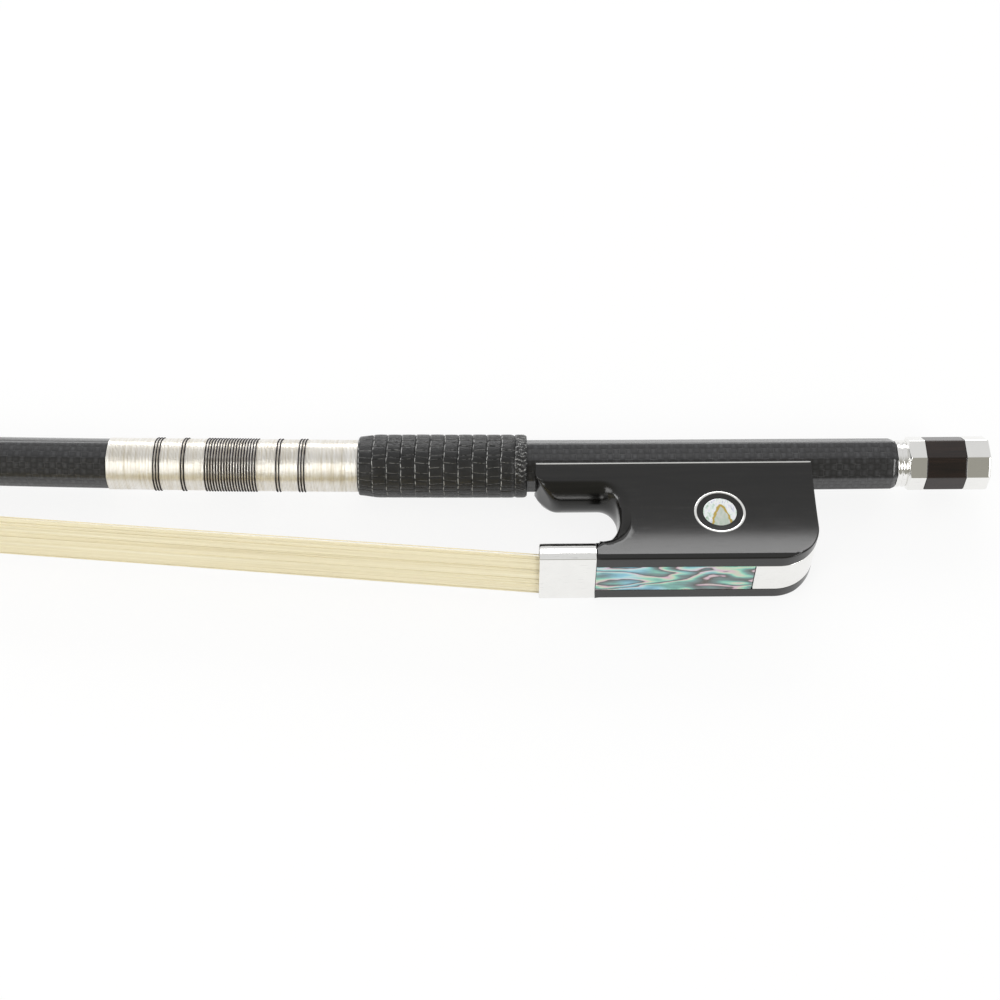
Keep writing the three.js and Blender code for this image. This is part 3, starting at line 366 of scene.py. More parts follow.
# Carbon weave: plain cloth of flat tows under a clear coat; u counts tows along, v tows round. A
# cell is over or under by the parity of its row plus its column. Its crown is half a sine along the
# tow that shows, less with the square of the distance from that tow's middle.
def carbonMaterial(tow=1.2, around=26):
    material, tree, shader, _, uv = newMaterial(
        "carbonWeave", Roughness=0.38, Coat_Weight=0.65, Coat_Roughness=0.06, Coat_IOR=1.5)
    shader.inputs["Specular IOR Level"].default_value = 0.3
    parts = addNode(tree, "ShaderNodeSeparateXYZ", links={0: uv}).outputs
    u, v = calc(tree, "DIVIDE", parts[0], tow), times(tree, parts[1], float(around))
    parity = calc(tree, "PINGPONG", plus(tree, calc(tree, "FLOOR", u), calc(tree, "FLOOR", v)), 1.0)

    def cloud(alongScale, roundScale):
        spot = addNode(tree, "ShaderNodeCombineXYZ",
                       links={0: times(tree, u, alongScale), 1: times(tree, v, roundScale)})
        return noise(tree, spot.outputs[0], 1.0, 2.0)

    def woven(over, under):
        return plus(tree, times(tree, over, parity), times(tree, under, minus(tree, 1.0, parity)))

    crowns = []
    for lead, side in ((u, v), (v, u)):
        length = calc(tree, "SINE", times(tree, calc(tree, "FRACT", lead), pi))
        off = minus(tree, calc(tree, "FRACT", side), 0.5)
        crowns.append(times(tree, length, minus(tree, 1.0, times(tree, times(tree, off, off), 2.6))))
    crown = woven(*crowns)
    fibre = woven(cloud(0.5, 9.0), cloud(9.0, 0.5))
    # Painted sheen: the crown of each tow is painted lighter, and the warp tows lighter than the weft, as a
    # lit and a shaded copy of one fibre.
    lit = times(tree, crown, plus(tree, fibre, 0.35))
    litWarpColor = ramp(tree, lit, [(0.0, (0.006, 0.006, 0.007)), (0.5, (0.02, 0.02, 0.022)),
                            (1.0, (0.045, 0.046, 0.05))])
    shadedWeftColor = ramp(tree, lit, [(0.0, (0.006, 0.006, 0.007)), (0.5, (0.012, 0.012, 0.013)),
                            (1.0, (0.024, 0.024, 0.027))])
    cloth = blendColor(tree, parity, shadedWeftColor, litWarpColor)
    # Painted highlights: thin light glints painted along the edges of the tows, broken up by a cloud.
    edgeGlintMasks = [spread(tree, calc(tree, "ABSOLUTE", minus(tree, calc(tree, "FRACT", side), 0.5)),
                      0.36, 0.47) for side in (u, v)]
    border = calc(tree, "MAXIMUM", times(tree, edgeGlintMasks[1], parity),
                  times(tree, edgeGlintMasks[0], minus(tree, 0.8, parity)))
    border = times(tree, border, spread(tree, cloud(0.7, 0.7), 0.42, 0.62))
    cloth = blendColor(tree, border, cloth, (0.05, 0.05, 0.053))
    tree.links.new(blendColor(tree, spread(tree, cloud(0.16, 0.3), 0.35, 0.7, 0.0, 0.5), cloth,
                              (0.01, 0.01, 0.011)), shader.inputs["Base Color"])
    tree.links.new(spread(tree, fibre, 0.3, 0.7, 0.3, 0.5), shader.inputs["Roughness"])
    bumped(tree, shader, crown, 0.55, 0.00006)
    return material


def silverMaterial(name, color, smooth, amount):
    material, tree, shader, place, _ = newMaterial(name, Metallic=1.0)
    wear = placeGroup(tree, groups["wear"], place, {"Amount": amount})
    tint = blendColor(tree, wear["Smudge"], color, tuple(c * 0.86 for c in color))
    tree.links.new(blendColor(tree, times(tree, wear["Scratch"], 0.5), tint,
                              tuple(c * 0.6 for c in color)), shader.inputs["Base Color"])
    rough = plus(tree, times(tree, wear["Smudge"], 0.14), smooth)
    tree.links.new(plus(tree, rough, times(tree, wear["Scratch"], 0.2)), shader.inputs["Roughness"])
    bumped(tree, shader, wear["Height"], 0.1, 0.00003)
    return material


def ebonyMaterial(name, dark, light, smooth):
    material, tree, shader, place, _ = newMaterial(name)
    grain = placeGroup(tree, groups["grain"], place, {"Fineness": 900.0})
    wear = placeGroup(tree, groups["wear"], place, {"Amount": 0.35})
    tree.links.new(ramp(tree, grain["Streak"], [(0.34, dark), (0.52, tuple(
        (a + b) / 2 for a, b in zip(dark, light))), (0.68, light)]), shader.inputs["Base Color"])
    rough = plus(tree, times(tree, grain["Pores"], 0.07), smooth)
    tree.links.new(plus(tree, rough, times(tree, wear["Smudge"], 0.14)), shader.inputs["Roughness"])
    bumped(tree, shader, grain["Height"], 0.07, 0.00005)
    return material


def woodMaterial():
    material, tree, shader, place, _ = newMaterial("limewood", Roughness=0.6)
    grain = placeGroup(tree, groups["grain"], place, {"Fineness": 1500.0})
    tree.links.new(ramp(tree, grain["Streak"], [(0.35, (0.44, 0.29, 0.15)), (0.65, (0.64, 0.46, 0.27))]),
                   shader.inputs["Base Color"])
    bumped(tree, shader, grain["Height"], 0.3, 0.00005)
    return material


def wireMaterial():
    material, tree, shader, place, uv = newMaterial("silverWire", Metallic=1.0)
    strand = placeGroup(tree, groups["strand"], uv, {"Along": 0.3, "Across": 3.0})
    turns = noise(tree, stretched(tree, place, (1, 0.03, 0.03)), 2600.0, 3.0, 0.7)
    cloud = noise(tree, place, 160.0, 2.0)
    tone = plus(tree, times(tree, turns, 0.7), times(tree, cloud, 0.3))
    tree.links.new(ramp(tree, tone, [(0.34, (0.7, 0.65, 0.55)), (0.48, (0.84, 0.81, 0.75)),
                                     (0.62, (0.93, 0.915, 0.89))]), shader.inputs["Base Color"])
    tree.links.new(spread(tree, strand["Tone"], 0.3, 0.7, 0.38, 0.3), shader.inputs["Roughness"])
    return material


def threadMaterial():
    material, tree, shader, _, uv = newMaterial("purpleThread", Roughness=0.8)
    strand = placeGroup(tree, groups["strand"], uv, {"Along": 2.0, "Across": 12.0})
    color = ramp(tree, strand["Line"], [(0.35, (0.004, 0.002, 0.003)), (0.65, (0.02, 0.01, 0.014))])
    tree.links.new(color, shader.inputs["Base Color"])
    bumped(tree, shader, strand["Line"], 0.4, 0.00003)
    return material


def leatherMaterial():
    material, tree, shader, place, uv = newMaterial("lizardLeather")
    # Painted highlights: a near-white glint colour is painted where the grip's glint layer is set, broken
    # into dots by a fine fleck noise.
    seamGlintMask = addNode(tree, "ShaderNodeAttribute", attribute_name="paintedGlintLayer").outputs["Fac"]
    cells = addNode(tree, "ShaderNodeTexVoronoi", {"Scale": 3600.0}, {"Vector": place})
    crease = noise(tree, place, 2600.0, 4.0, 0.65)
    tone = noise(tree, place, 300.0, 3.0)
    base = ramp(tree, tone, [(0.3, (0.004, 0.004, 0.0042)), (0.7, (0.012, 0.012, 0.0125))])
    fleck = noise(tree, place, 1500.0, 3.0)
    paintedHighlight = times(tree, seamGlintMask, spread(tree, fleck, 0.36, 0.58))
    tree.links.new(blendColor(tree, paintedHighlight, base, (0.85, 0.85, 0.84)), shader.inputs["Base Color"])
    tree.links.new(spread(tree, crease, 0.35, 0.7, 0.3, 0.52), shader.inputs["Roughness"])
    bumped(tree, shader, plus(tree, cells.outputs["Distance"], crease), 0.5, 0.00009)
    return material


def hairMaterial():
    material, tree, shader, _, uv = newMaterial("paleHorsehair", Roughness=0.5, Sheen_Weight=0.15)
    strand = placeGroup(tree, groups["strand"], uv, {"Along": 0.012, "Across": 150.0})
    broad = placeGroup(tree, groups["strand"], uv, {"Along": 0.006, "Across": 36.0})
    tone = plus(tree, times(tree, strand["Line"], 0.6), times(tree, broad["Line"], 0.4))
    tree.links.new(ramp(tree, tone, [(0.3, (0.58, 0.49, 0.3)), (0.42, (0.8, 0.71, 0.48)),
                                     (0.52, (0.9, 0.82, 0.58)), (0.68, (0.95, 0.9, 0.72))]),
                   shader.inputs["Base Color"])
    bumped(tree, shader, strand["Line"], 0.5, 0.00006)
    return material


polishedShell = {"Roughness": 0.12, "Coat_Weight": 0.5, "Coat_Roughness": 0.04}


def shellMaterial():
    material, tree, shader, place, _ = newMaterial("abaloneShell", **polishedShell)
    shell = placeGroup(tree, groups["shell"], place, {})
    tree.links.new(shell["Color"], shader.inputs["Base Color"])
    tree.links.new(spread(tree, shell["Seam"], 0.0, 1.0, 0.14, 0.35), shader.inputs["Roughness"])
    bumped(tree, shader, shell["Height"], 0.12, 0.00005)
    return material


# Mother of pearl with one golden growth line, an arch from side to side: its height falls off with
# the distance from the middle to the power 1.72. middle is the dot's middle in metres.
def pearlMaterial(middle, reach=0.0032):
    material, tree, shader, place, _ = newMaterial("paleShell", **polishedShell)
    parts = addNode(tree, "ShaderNodeSeparateXYZ", links={0: place}).outputs
    u, v = [calc(tree, "DIVIDE", minus(tree, parts[k], middle[k]), reach) for k in (0, 1)]
    wave = times(tree, minus(tree, noise(tree, place, 700.0, 2.0), 0.5), 0.3)
    off = calc(tree, "ABSOLUTE", plus(tree, u, wave))
    arch = minus(tree, 0.48, times(tree, calc(tree, "POWER", off, 1.72), 3.5))
    above = calc(tree, "DIVIDE", minus(tree, v, arch), plus(tree, 1.0, times(tree, off, 3.4)))
    layers = noise(tree, stretched(tree, place, (1, 0.4, 1), (0, 0, 0.3)), 1500.0, 4.0, 0.6, 0.5)
    outside = ramp(tree, layers, [
        (0.34, (0.3, 0.42, 0.3)), (0.44, (0.6, 0.7, 0.66)), (0.54, (0.8, 0.8, 0.8)),
        (0.64, (0.56, 0.58, 0.72)), (0.74, (0.4, 0.5, 0.28))])
    inside = ramp(tree, layers, [
        (0.35, (0.4, 0.48, 0.4)), (0.6, (0.52, 0.54, 0.5)), (0.75, (0.54, 0.46, 0.52))])
    shell = blendColor(tree, spread(tree, above, -0.05, 0.05), inside, outside)
    line = spread(tree, calc(tree, "ABSOLUTE", above), 0.05, 0.12, 1.0, 0.0)
    tree.links.new(blendColor(tree, line, shell, (0.42, 0.3, 0.05)), shader.inputs["Base Color"])
    bumped(tree, shader, layers, 0.1, 0.00005)
    return material


def plateMaterial():
    material, tree, shader, place, _ = newMaterial("ivoryPlate", Roughness=0.25, Coat_Weight=0.3)
    grain = placeGroup(tree, groups["grain"], place, {"Fineness": 500.0})
    tree.links.new(ramp(tree, grain["Streak"], [(0.35, (0.8, 0.75, 0.62)), (0.6, (0.88, 0.85, 0.75))]),
                   shader.inputs["Base Color"])
    bumped(tree, shader, grain["Height"], 0.08, 0.00004)
    return material


def linerMaterial():
    material, tree, shader, place, _ = newMaterial("blackFibre", Roughness=0.6)
    fleck = noise(tree, place, 3000.0, 3.0)
    tree.links.new(ramp(tree, fleck, [(0.35, (0.012, 0.012, 0.012)), (0.7, (0.035, 0.034, 0.033))]),
                   shader.inputs["Base Color"])
    bumped(tree, shader, fleck, 0.2, 0.00004)
    return material


finishes = {
    "carbon": carbonMaterial(), "silver": silverMaterial("nickelSilver", (0.91, 0.905, 0.885), 0.06, 0.5),
    "brass": silverMaterial("machinedBrass", (0.72, 0.52, 0.2), 0.22, 0.8),
    "steel": silverMaterial("bareSteel", (0.55, 0.55, 0.56), 0.26, 0.8),
    "ebony": ebonyMaterial("polishedEbony", (0.001, 0.0009, 0.0007), (0.007, 0.0064, 0.0055), 0.15),
    "core": ebonyMaterial("reddishEbony", (0.004, 0.0022, 0.0017), (0.024, 0.012, 0.008), 0.16),
    "wood": woodMaterial(), "wire": wireMaterial(), "thread": threadMaterial(),
    "leather": leatherMaterial(), "hair": hairMaterial(), "shell": shellMaterial(),
    "plate": plateMaterial(), "liner": linerMaterial()}
print("materials ready")


# Stick: an octagon with soft corners that turns round and tapers along a cambered axis.
stick = {"flats": 9.7, "endFlats": 9.43, "tipFlats": 6.8, "camberRadius": 3774.0, "camberStart": 48.2,
         "fadeStart": 100.0, "fadeLength": 150.0, "taperPower": 1.4, "crispness": 54, "underWraps": 0.22,
         "wrapped": (-153.2, -72.4)}


# Camber: past its start the axis rises with the square of the distance over twice the radius.
def axisRise(x):
    return np.maximum(0, -stick["camberStart"] - x) ** 2 / (2 * stick["camberRadius"])


def axisSlope(x):
    return np.arctan(-np.maximum(0, -stick["camberStart"] - x) / stick["camberRadius"])


# Across flats: a straight line along the handle, then less with a power of the share of the way
# to the head.
def flatsAt(x):
    front = bow["frogFront"]
    share = np.clip((front - x) / (front - bow["stickEnd"]), 0, 1) ** stick["taperPower"]
    handle = stick["flats"] + (stick["endFlats"] - stick["flats"]) * (x - front) / -front
    return np.where(x > front, handle, stick["flats"] - (stick["flats"] - stick["tipFlats"]) * share)


# How much of the octagon is left: all of it on the handle, fading evenly to a circle.
def cornerShareAt(x):
    return 1 - np.clip((-x - stick["fadeStart"]) / stick["fadeLength"], 0, 1)


# Octagon of inradius one: one over the p-norm of the cosines to its eight faces, p its crispness.
def octagonReach(angle, crispness):
    faces = np.maximum(0, np.cos(np.asarray(angle)[..., None] - np.arange(8) * pi / 4))
    return 1 / np.sum(faces ** crispness, -1) ** (1 / crispness)


cornerSteps = np.radians([-22.5, -13, -7, -3.8, -1.8, -0.6, 0.6, 1.8, 3.8, 7, 13])
ringAngles = np.concatenate([(k + 0.5) * pi / 4 + cornerSteps for k in range(8)] + [[2 * pi]])


# Points off the cambered axis: angle 0 is the hair side, a quarter turn is up.
def aroundStick(x, angle, radius):
    slope = axisSlope(x)
    lift = -radius * np.cos(angle)
    return np.stack(np.broadcast_arrays(x - lift * np.sin(slope), axisRise(x) + lift * np.cos(slope),
                                        radius * np.sin(angle)), -1)


# Head: inner and outer curves in the head's own lengths and heights, paired one to one. A ring lies
# between each pair; its outline turns from a circle to the plan of the head plate.
head = {"length": 27.0, "depth": 19.9, "width": 12.0, "plate": 0.9, "liner": 0.9, "gap": 0.08,
        "hairThickness": 1.1, "ridge": 0.12, "mortiseStart": 5.1,
        "openingMiddle": 10.0, "openingHalf": (4.9, 3.7),
        "plan": [[0, 0.62], [0.03, 0.84], [0.14, 0.97], [0.36, 1], [0.58, 0.88], [0.78, 0.62],
                 [0.93, 0.28], [1, 0.06]],
        "inner": [[-8.15, 15.01], [-5.5, 15.12], [-3.2, 15.1], [-1, 14.85], [1, 14.25], [2.7, 13.3],
                  [3.9, 12.0], [4.35, 10.3], [4.0, 8.6], [3.24, 7.1], [2.1, 5.2], [1.1, 3.5], [0.4, 1.96]],
        "outer": [[-8.61, 21.83], [-3, 22.25], [3, 22.65], [8.5, 22.85], [12.5, 22.4], [15.6, 21.2],
                  [17.8, 19.4], [19.2, 17.0], [20.1, 14.0], [21.1, 10.5], [22.7, 7.0], [24.4, 4.0],
                  [26.3, 1.96]],
        "half": [3.42, 3.42, 3.42, 3.43, 3.44, 3.46, 3.5, 3.6, 3.8, 4.15, 4.7, 5.3, 5.88],
        "plane": [0, 0.04, 0.1, 0.18, 0.3, 0.44, 0.58, 0.72, 0.85, 0.94, 1, 1, 1]}

hairMouthX, hairMouthY = bow["frogFront"] + 0.35, -(25.8 - 0.45 - 0.08 - 0.55)
headTilt, headBackX, headBackY = 0.0, 0.0, 0.0
for _ in range(4):
    headBackX = bow["stickEnd"] + head["length"] * math.cos(headTilt)
    headBackY = float(axisRise(headBackX)) - head["depth"]
    headTilt = math.atan2(headBackY - hairMouthY, hairMouthX - headBackX)
hairTopGap = head["hairThickness"] / 2 + head["ridge"] / 2 + head["gap"]


# Lengths from the back edge of the head plate, heights from its outer face, turned by the tilt.
def onHead(along, height, across):
    x, y = -np.asarray(along, float), np.asarray(height, float) + hairTopGap
    c, s = math.cos(-headTilt), math.sin(-headTilt)
    return np.stack(np.broadcast_arrays(x * c - y * s + headBackX, x * s + y * c + headBackY, across), -1)


# Plan of the head plate for an angle round it: from its back edge to its tip along either side.
def planShape(angle):
    line = np.clip(smoothLine([[0, 0]] + head["plan"] + [[1, 0]], 181), 0, 1)
    t = np.where(angle <= pi, angle, 2 * pi - angle) / pi * 180
    side = np.where(angle <= pi, 1, -1)
    return np.interp(t, np.arange(181), line[:, 0]), np.interp(t, np.arange(181), line[:, 1]) * side


def stickParts():
    xs = np.concatenate([[0, -0.05, -0.4, -0.84, -0.95, -2], np.arange(-5, -48, -3.0),
                         np.arange(-48.2, -70, -2.4), [-72.2, -72.4, -72.5], np.arange(-76, -153, -3.5),
                         [-153.1, -153.2, -153.4], np.arange(-156, -654, -3.2), [-655]])
    flats = flatsAt(xs)
    flats[:5] = stick["endFlats"] - np.array([0.84, 0.72, 0.4, 0.05, 0])
    inside = (xs < stick["wrapped"][1]) & (xs > stick["wrapped"][0])
    flats = flats - 2 * stick["underWraps"] * inside
    reach = 1 + cornerShareAt(xs)[:, None] * (octagonReach(ringAngles, stick["crispness"])[None] - 1)
    shaft = aroundStick(xs[:, None], ringAngles[None], flats[:, None] / 2 * reach)
    rows = 64
    inner, outer = smoothLine(head["inner"], rows), smoothLine(head["outer"], rows)
    half, plane = smoothLine(np.array([head["half"], head["plane"]]).T, rows).T
    plane = np.clip(plane, 0, 1)[:, None]
    planAlong, planAcross = planShape(ringAngles)
    a = (1 - np.cos(ringAngles))[None] / 2 * (1 - plane) + planAlong[None] * plane
    b = np.sin(ringAngles)[None] * (1 - plane) + planAcross[None] * plane
    low, high = onHead(*inner.T, 0), onHead(*outer.T, 0)
    rings = low[:, None] + (high - low)[:, None] * a[..., None]
    rings[..., 2] = half[:, None] * b
    points = np.concatenate([shaft, rings])
    middle = points.mean(1)
    travelled = np.concatenate([[0], np.cumsum(np.linalg.norm(np.diff(middle, axis=0), axis=1))])
    uv = np.stack(np.broadcast_arrays(travelled[:, None], (ringAngles / (2 * pi))[None]), -1)
    return [gridPart(points, uv, capped=True)]


# A plate with a rectangular opening: rays from the opening's middle meet both outlines, and the
# grid runs from the opening across one face, over the edge and back across the other.
def headPlateParts(level, thickness, share=1.0, soft=0.14):
    planAlong, planAcross = planShape(np.linspace(0, 2 * pi, 361))
    outline = np.stack([planAlong * head["length"], planAcross * head["width"] / 2], -1)
    middle = np.array([head["openingMiddle"], 0])
    rays = np.linspace(-pi, pi, 241)
    toLine = (outline - middle) * share
    angles = np.arctan2(toLine[:, 1], toLine[:, 0])
    order = np.argsort(angles)
    reach = np.interp(rays, angles[order], np.linalg.norm(toLine, axis=1)[order], period=2 * pi)
    openLength, openWidth = head["openingHalf"]
    opening = np.minimum(openLength / np.maximum(np.abs(np.cos(rays)), 1e-6),
                         openWidth / np.maximum(np.abs(np.sin(rays)), 1e-6))
    ray = np.stack([np.cos(rays), np.sin(rays)], -1)
    rows = []
    for distance, height in ((opening, level), (reach - soft * 2, level),
                             (reach - soft, level + soft * 0.15),
                             (reach - soft * 0.3, level + soft * 0.5), (reach, level + soft),
                             (reach, level + thickness), (opening, level + thickness), (opening, level)):
        spot = middle + ray * distance[:, None]
        rows.append(onHead(spot[:, 0], height, spot[:, 1]))
    return [gridPart(np.stack(rows))]


makePiece("carbonStick", stickParts(), finishes["carbon"], "stick", ["stick"], 50)
makePiece("headPlate", headPlateParts(0, head["plate"]), finishes["plate"], "stick", ["head_plate"])
makePiece("headLiner", headPlateParts(head["plate"] + head["gap"], head["liner"], 0.995, 0.03),
          finishes["liner"], "stick", ["head_liner"])


# Hair: one ribbon of many strands. Across it each strand is a small arch; along it strands wander.
hair = {"thickness": 1.1, "frogWidth": 12.9, "headWidth": 10.6, "tuckedWidth": 7.0, "wedgedWidth": 8.2,
        "strands": 60, "perStrand": 4, "stations": 96, "sink": 0.1, "arch": 0.085, "wave": 0.045,
        "loose": 30, "alongEdges": 4, "strandRadius": 0.085, "mouthRise": 1.73, "narrowBy": 8.0}


# Middle line of the ribbon from inside the head, over its edge, straight to the frog, and inside.
def hairLine(count):
    tail = onHead([5.72, 5.7, 5.62, 5.35, 4.7, 3.4, 0.0], [1.9, 0.9, 0.15, -0.38, -0.62, -0.69, -0.69], 0)
    straight = np.linspace(0, 1, count)[1:-1, None] * ([[hairMouthX, hairMouthY, 0]] - tail[-1:]) + tail[-1]
    inside = np.array([[hairMouthX, hairMouthY, 0],
                       [hairMouthX + hair["narrowBy"], hairMouthY + hair["mouthRise"] * 0.8, 0]])
    return np.concatenate([tail, straight, inside])


def hairParts():
    path = hairLine(hair["stations"])
    x = path[:, 0]
    rows = len(path)
    width = np.interp(x, [headBackX - head["mortiseStart"], headBackX, hairMouthX,
                          hairMouthX + hair["narrowBy"]],
                      [hair["tuckedWidth"], hair["headWidth"], hair["frogWidth"], hair["wedgedWidth"]])
    along = unit(np.gradient(path, axis=0))
    up = np.stack([-along[:, 1], along[:, 0], np.zeros(rows)], -1)
    count = hair["strands"] * hair["perStrand"]
    across = np.linspace(-0.5, 0.5, count + 1)
    strand = np.linspace(0, hair["strands"], count + 1)
    owner = np.minimum(strand.astype(int), hair["strands"] - 1)
    strips = []
    for side, seed in ((1, 5), (-1, 6)):
        height = wander(rows, 7, seed, hair["strands"])[:, owner]
        tone = np.random.default_rng(seed).uniform(0.5, 1, hair["strands"])[owner]
        arch = np.abs(np.sin(pi * strand)) ** 0.6
        edge = 1 - (2 * np.abs(across)) ** 10 * 0.55
        level = (hair["thickness"] / 2 - hair["sink"] + hair["arch"] * arch * tone
                 + hair["wave"] * height) * edge
        shift = wander(rows, 9, seed + 20, 1) * 0.03 + wander(rows, 5, seed + 40, count + 1) * 0.035
        z = across[None] * width[:, None] + shift * (1 - (2 * np.abs(across)) ** 6)[None]
        strip = path[:, None] + up[:, None] * (side * level)[..., None]
        strip[..., 2] = z
        strips.append(strip if side > 0 else strip[:, ::-1])
    points = np.concatenate([strips[0], strips[1], strips[0][:, :1]], 1)
    v = np.concatenate([across, across[::-1] + 2.0, across[:1]])
    travelled = np.concatenate([[0], np.cumsum(np.linalg.norm(np.diff(path, axis=0), axis=1))])
    uv = np.stack(np.broadcast_arrays(travelled[:, None], v[None]), -1)
    parts = [gridPart(points, uv, capped=True)]
    chance = np.random.default_rng(31)
    free = slice(6, rows - 1)
    for k in range(hair["loose"]):
        side = 1 if k % 2 else -1
        start = chance.uniform(-0.48, 0.48)
        drift = start + wander(rows, 14, 100 + k)[:, 0] * 0.03
        lift = hair["thickness"] / 2 - 0.03 + 0.05 * wander(rows, 11, 200 + k)[:, 0]
        if k < hair["alongEdges"]:
            drift = np.sign(start) * (0.5 + 0.004 * wander(rows, 8, 300 + k)[:, 0])
            lift = 0.2 * start * np.ones(rows)
        line = path + up * (side * lift)[:, None]
        line[:, 2] = drift * width
        parts.append(tubePart(line[free], hair["strandRadius"], 5, up[free] * side))
    return parts


makeHair = makePiece("hairRibbon", hairParts(), finishes["hair"], None, (), 180)
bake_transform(makeHair)
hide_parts("hair_ribbon")


# Bound hair ends: a drum of hair with thread wound round it, and the hair's tail beside it. The
# drum's radius swells with a cosine towards its middle.
def knotParts(center, drum, width, tailSide, tailLow, turn, windings=14):
    c, s = math.cos(turn), math.sin(turn)
    spin = np.array([[c, -s, 0], [s, c, 0], [0, 0, 1]])
    z = np.linspace(-0.5, 0.5, 31)
    bulge = drum / 2 * (0.9 + 0.1 * np.cos(2 * pi * z) - 0.14 * (np.abs(z) > 0.44))
    angle = np.linspace(0, 2 * pi, 33)
    barrel = np.stack(np.broadcast_arrays(bulge[:, None] * np.cos(angle), bulge[:, None] * np.sin(angle),
                                          (z * width)[:, None]), -1)
    t = np.linspace(0, windings * 2 * pi, windings * 24)
    wound = np.stack([drum / 2 * 0.95 * np.cos(t), drum / 2 * 0.95 * np.sin(t),
                      (t / t[-1] - 0.5) * width * 0.45], -1)
    tail = np.array([[tailSide * drum / 2 * 0.8, y, 0] for y in (0.0, tailLow * 0.5, tailLow)])
    flat = np.linspace(0, 2 * pi, 25)
    tailRing = np.stack([0.5 * np.cos(flat), 0 * flat, width * 0.48 * np.sin(flat)], -1)
    parts = []
    for points in (barrel, tail[:, None] + tailRing[None]):
        uv = np.stack(np.broadcast_arrays(np.linspace(0, 3, len(points))[:, None],
                                          np.linspace(0, 1, points.shape[1])[None]), -1)
        parts.append(gridPart(points @ spin.T + center, uv, capped=True))
    wound = wound @ spin.T
    return parts, [tubePart(wound + center, 0.09, 6, wound * [1, 1, 0.001])]


# Silver wire: one helix round the handle, its turns just touching and a little uneven.
winding = {"start": -153.68, "length": 48.9, "flats": 10.05, "cornerShare": 0.55, "crispness": 60,
           "pitch": 0.271, "wire": 0.152, "unevenness": 0.05, "stations": 32, "firstAngle": -pi / 2}


# Inradius times an octagon of inradius one whose corners are partly filled.
def wrapRadius(angle, flats, cornerShare):
    return flats / 2 * (1 + cornerShare * (octagonReach(angle, winding["crispness"]) - 1))


def windingParts():
    turns = int(winding["length"] / winding["pitch"])
    t = np.linspace(0, turns, turns * winding["stations"])
    uneven = wander(turns + 2, 1.0, 7, 2)
    level, shift = [np.interp(t, np.arange(turns + 2), uneven[:, k]) * winding["unevenness"]
                    for k in (0, 1)]
    x = winding["start"] + winding["pitch"] * (t + 0.5 + shift * 0.5)
    angle = t * 2 * pi + winding["firstAngle"]
    reach = wrapRadius(angle, winding["flats"], winding["cornerShare"]) - winding["wire"] * (1 - level)
    path = aroundStick(x, angle, reach)
    return [tubePart(path, winding["wire"], 6, path - aroundStick(x, angle, reach * 0))]


# Threads: places are first wire turn, thread turns and pitch; a thread sits on every second turn.
threadBands = {"radius": 0.155, "lift": -0.01,
               "places": [(33, 3, 0.55), (53, 2, 0.55), (70, 19, 0.542), (121, 2, 0.58), (137, 3, 0.55)]}


def threadParts(firstTurn, turns, pitch):
    t = np.linspace(0, turns, turns * 56 + 1)
    angle = t * 2 * pi + winding["firstAngle"]
    x = winding["start"] + winding["pitch"] * (firstTurn + 0.5) + pitch * t
    reach = wrapRadius(angle, winding["flats"], winding["cornerShare"]) + threadBands["lift"]
    path = aroundStick(x, angle, reach)
    return [tubePart(path, threadBands["radius"], 8, path - aroundStick(x, angle, reach * 0), 0.1, 9.0)]


makePiece("silverWinding", windingParts(), finishes["wire"], "stick", ["winding_wire"], 180)
for number, band in enumerate(threadBands["places"], 1):
    makePiece(f"threadBand{number}", threadParts(*band), finishes["thread"], "stick",
              [f"thread_band_{number}"], 180)


# Grip: leather tiles in staggered rows round the handle. A tile's height falls away at the seam
# between rows and, less, at the seams within a row; the hair side is rubbed smooth.
grip = {"start": -104.7, "length": 32.8, "flats": 12.35, "neckFlats": 11.5, "neck": 4.0, "rowLength": 2.77,
        "tiles": 25, "rowSeam": 0.2, "tileSeam": 0.15, "depth": 0.27, "cornerShare": 0.24, "roll": 2.5,
        "bore": 4.72, "crispness": 24}


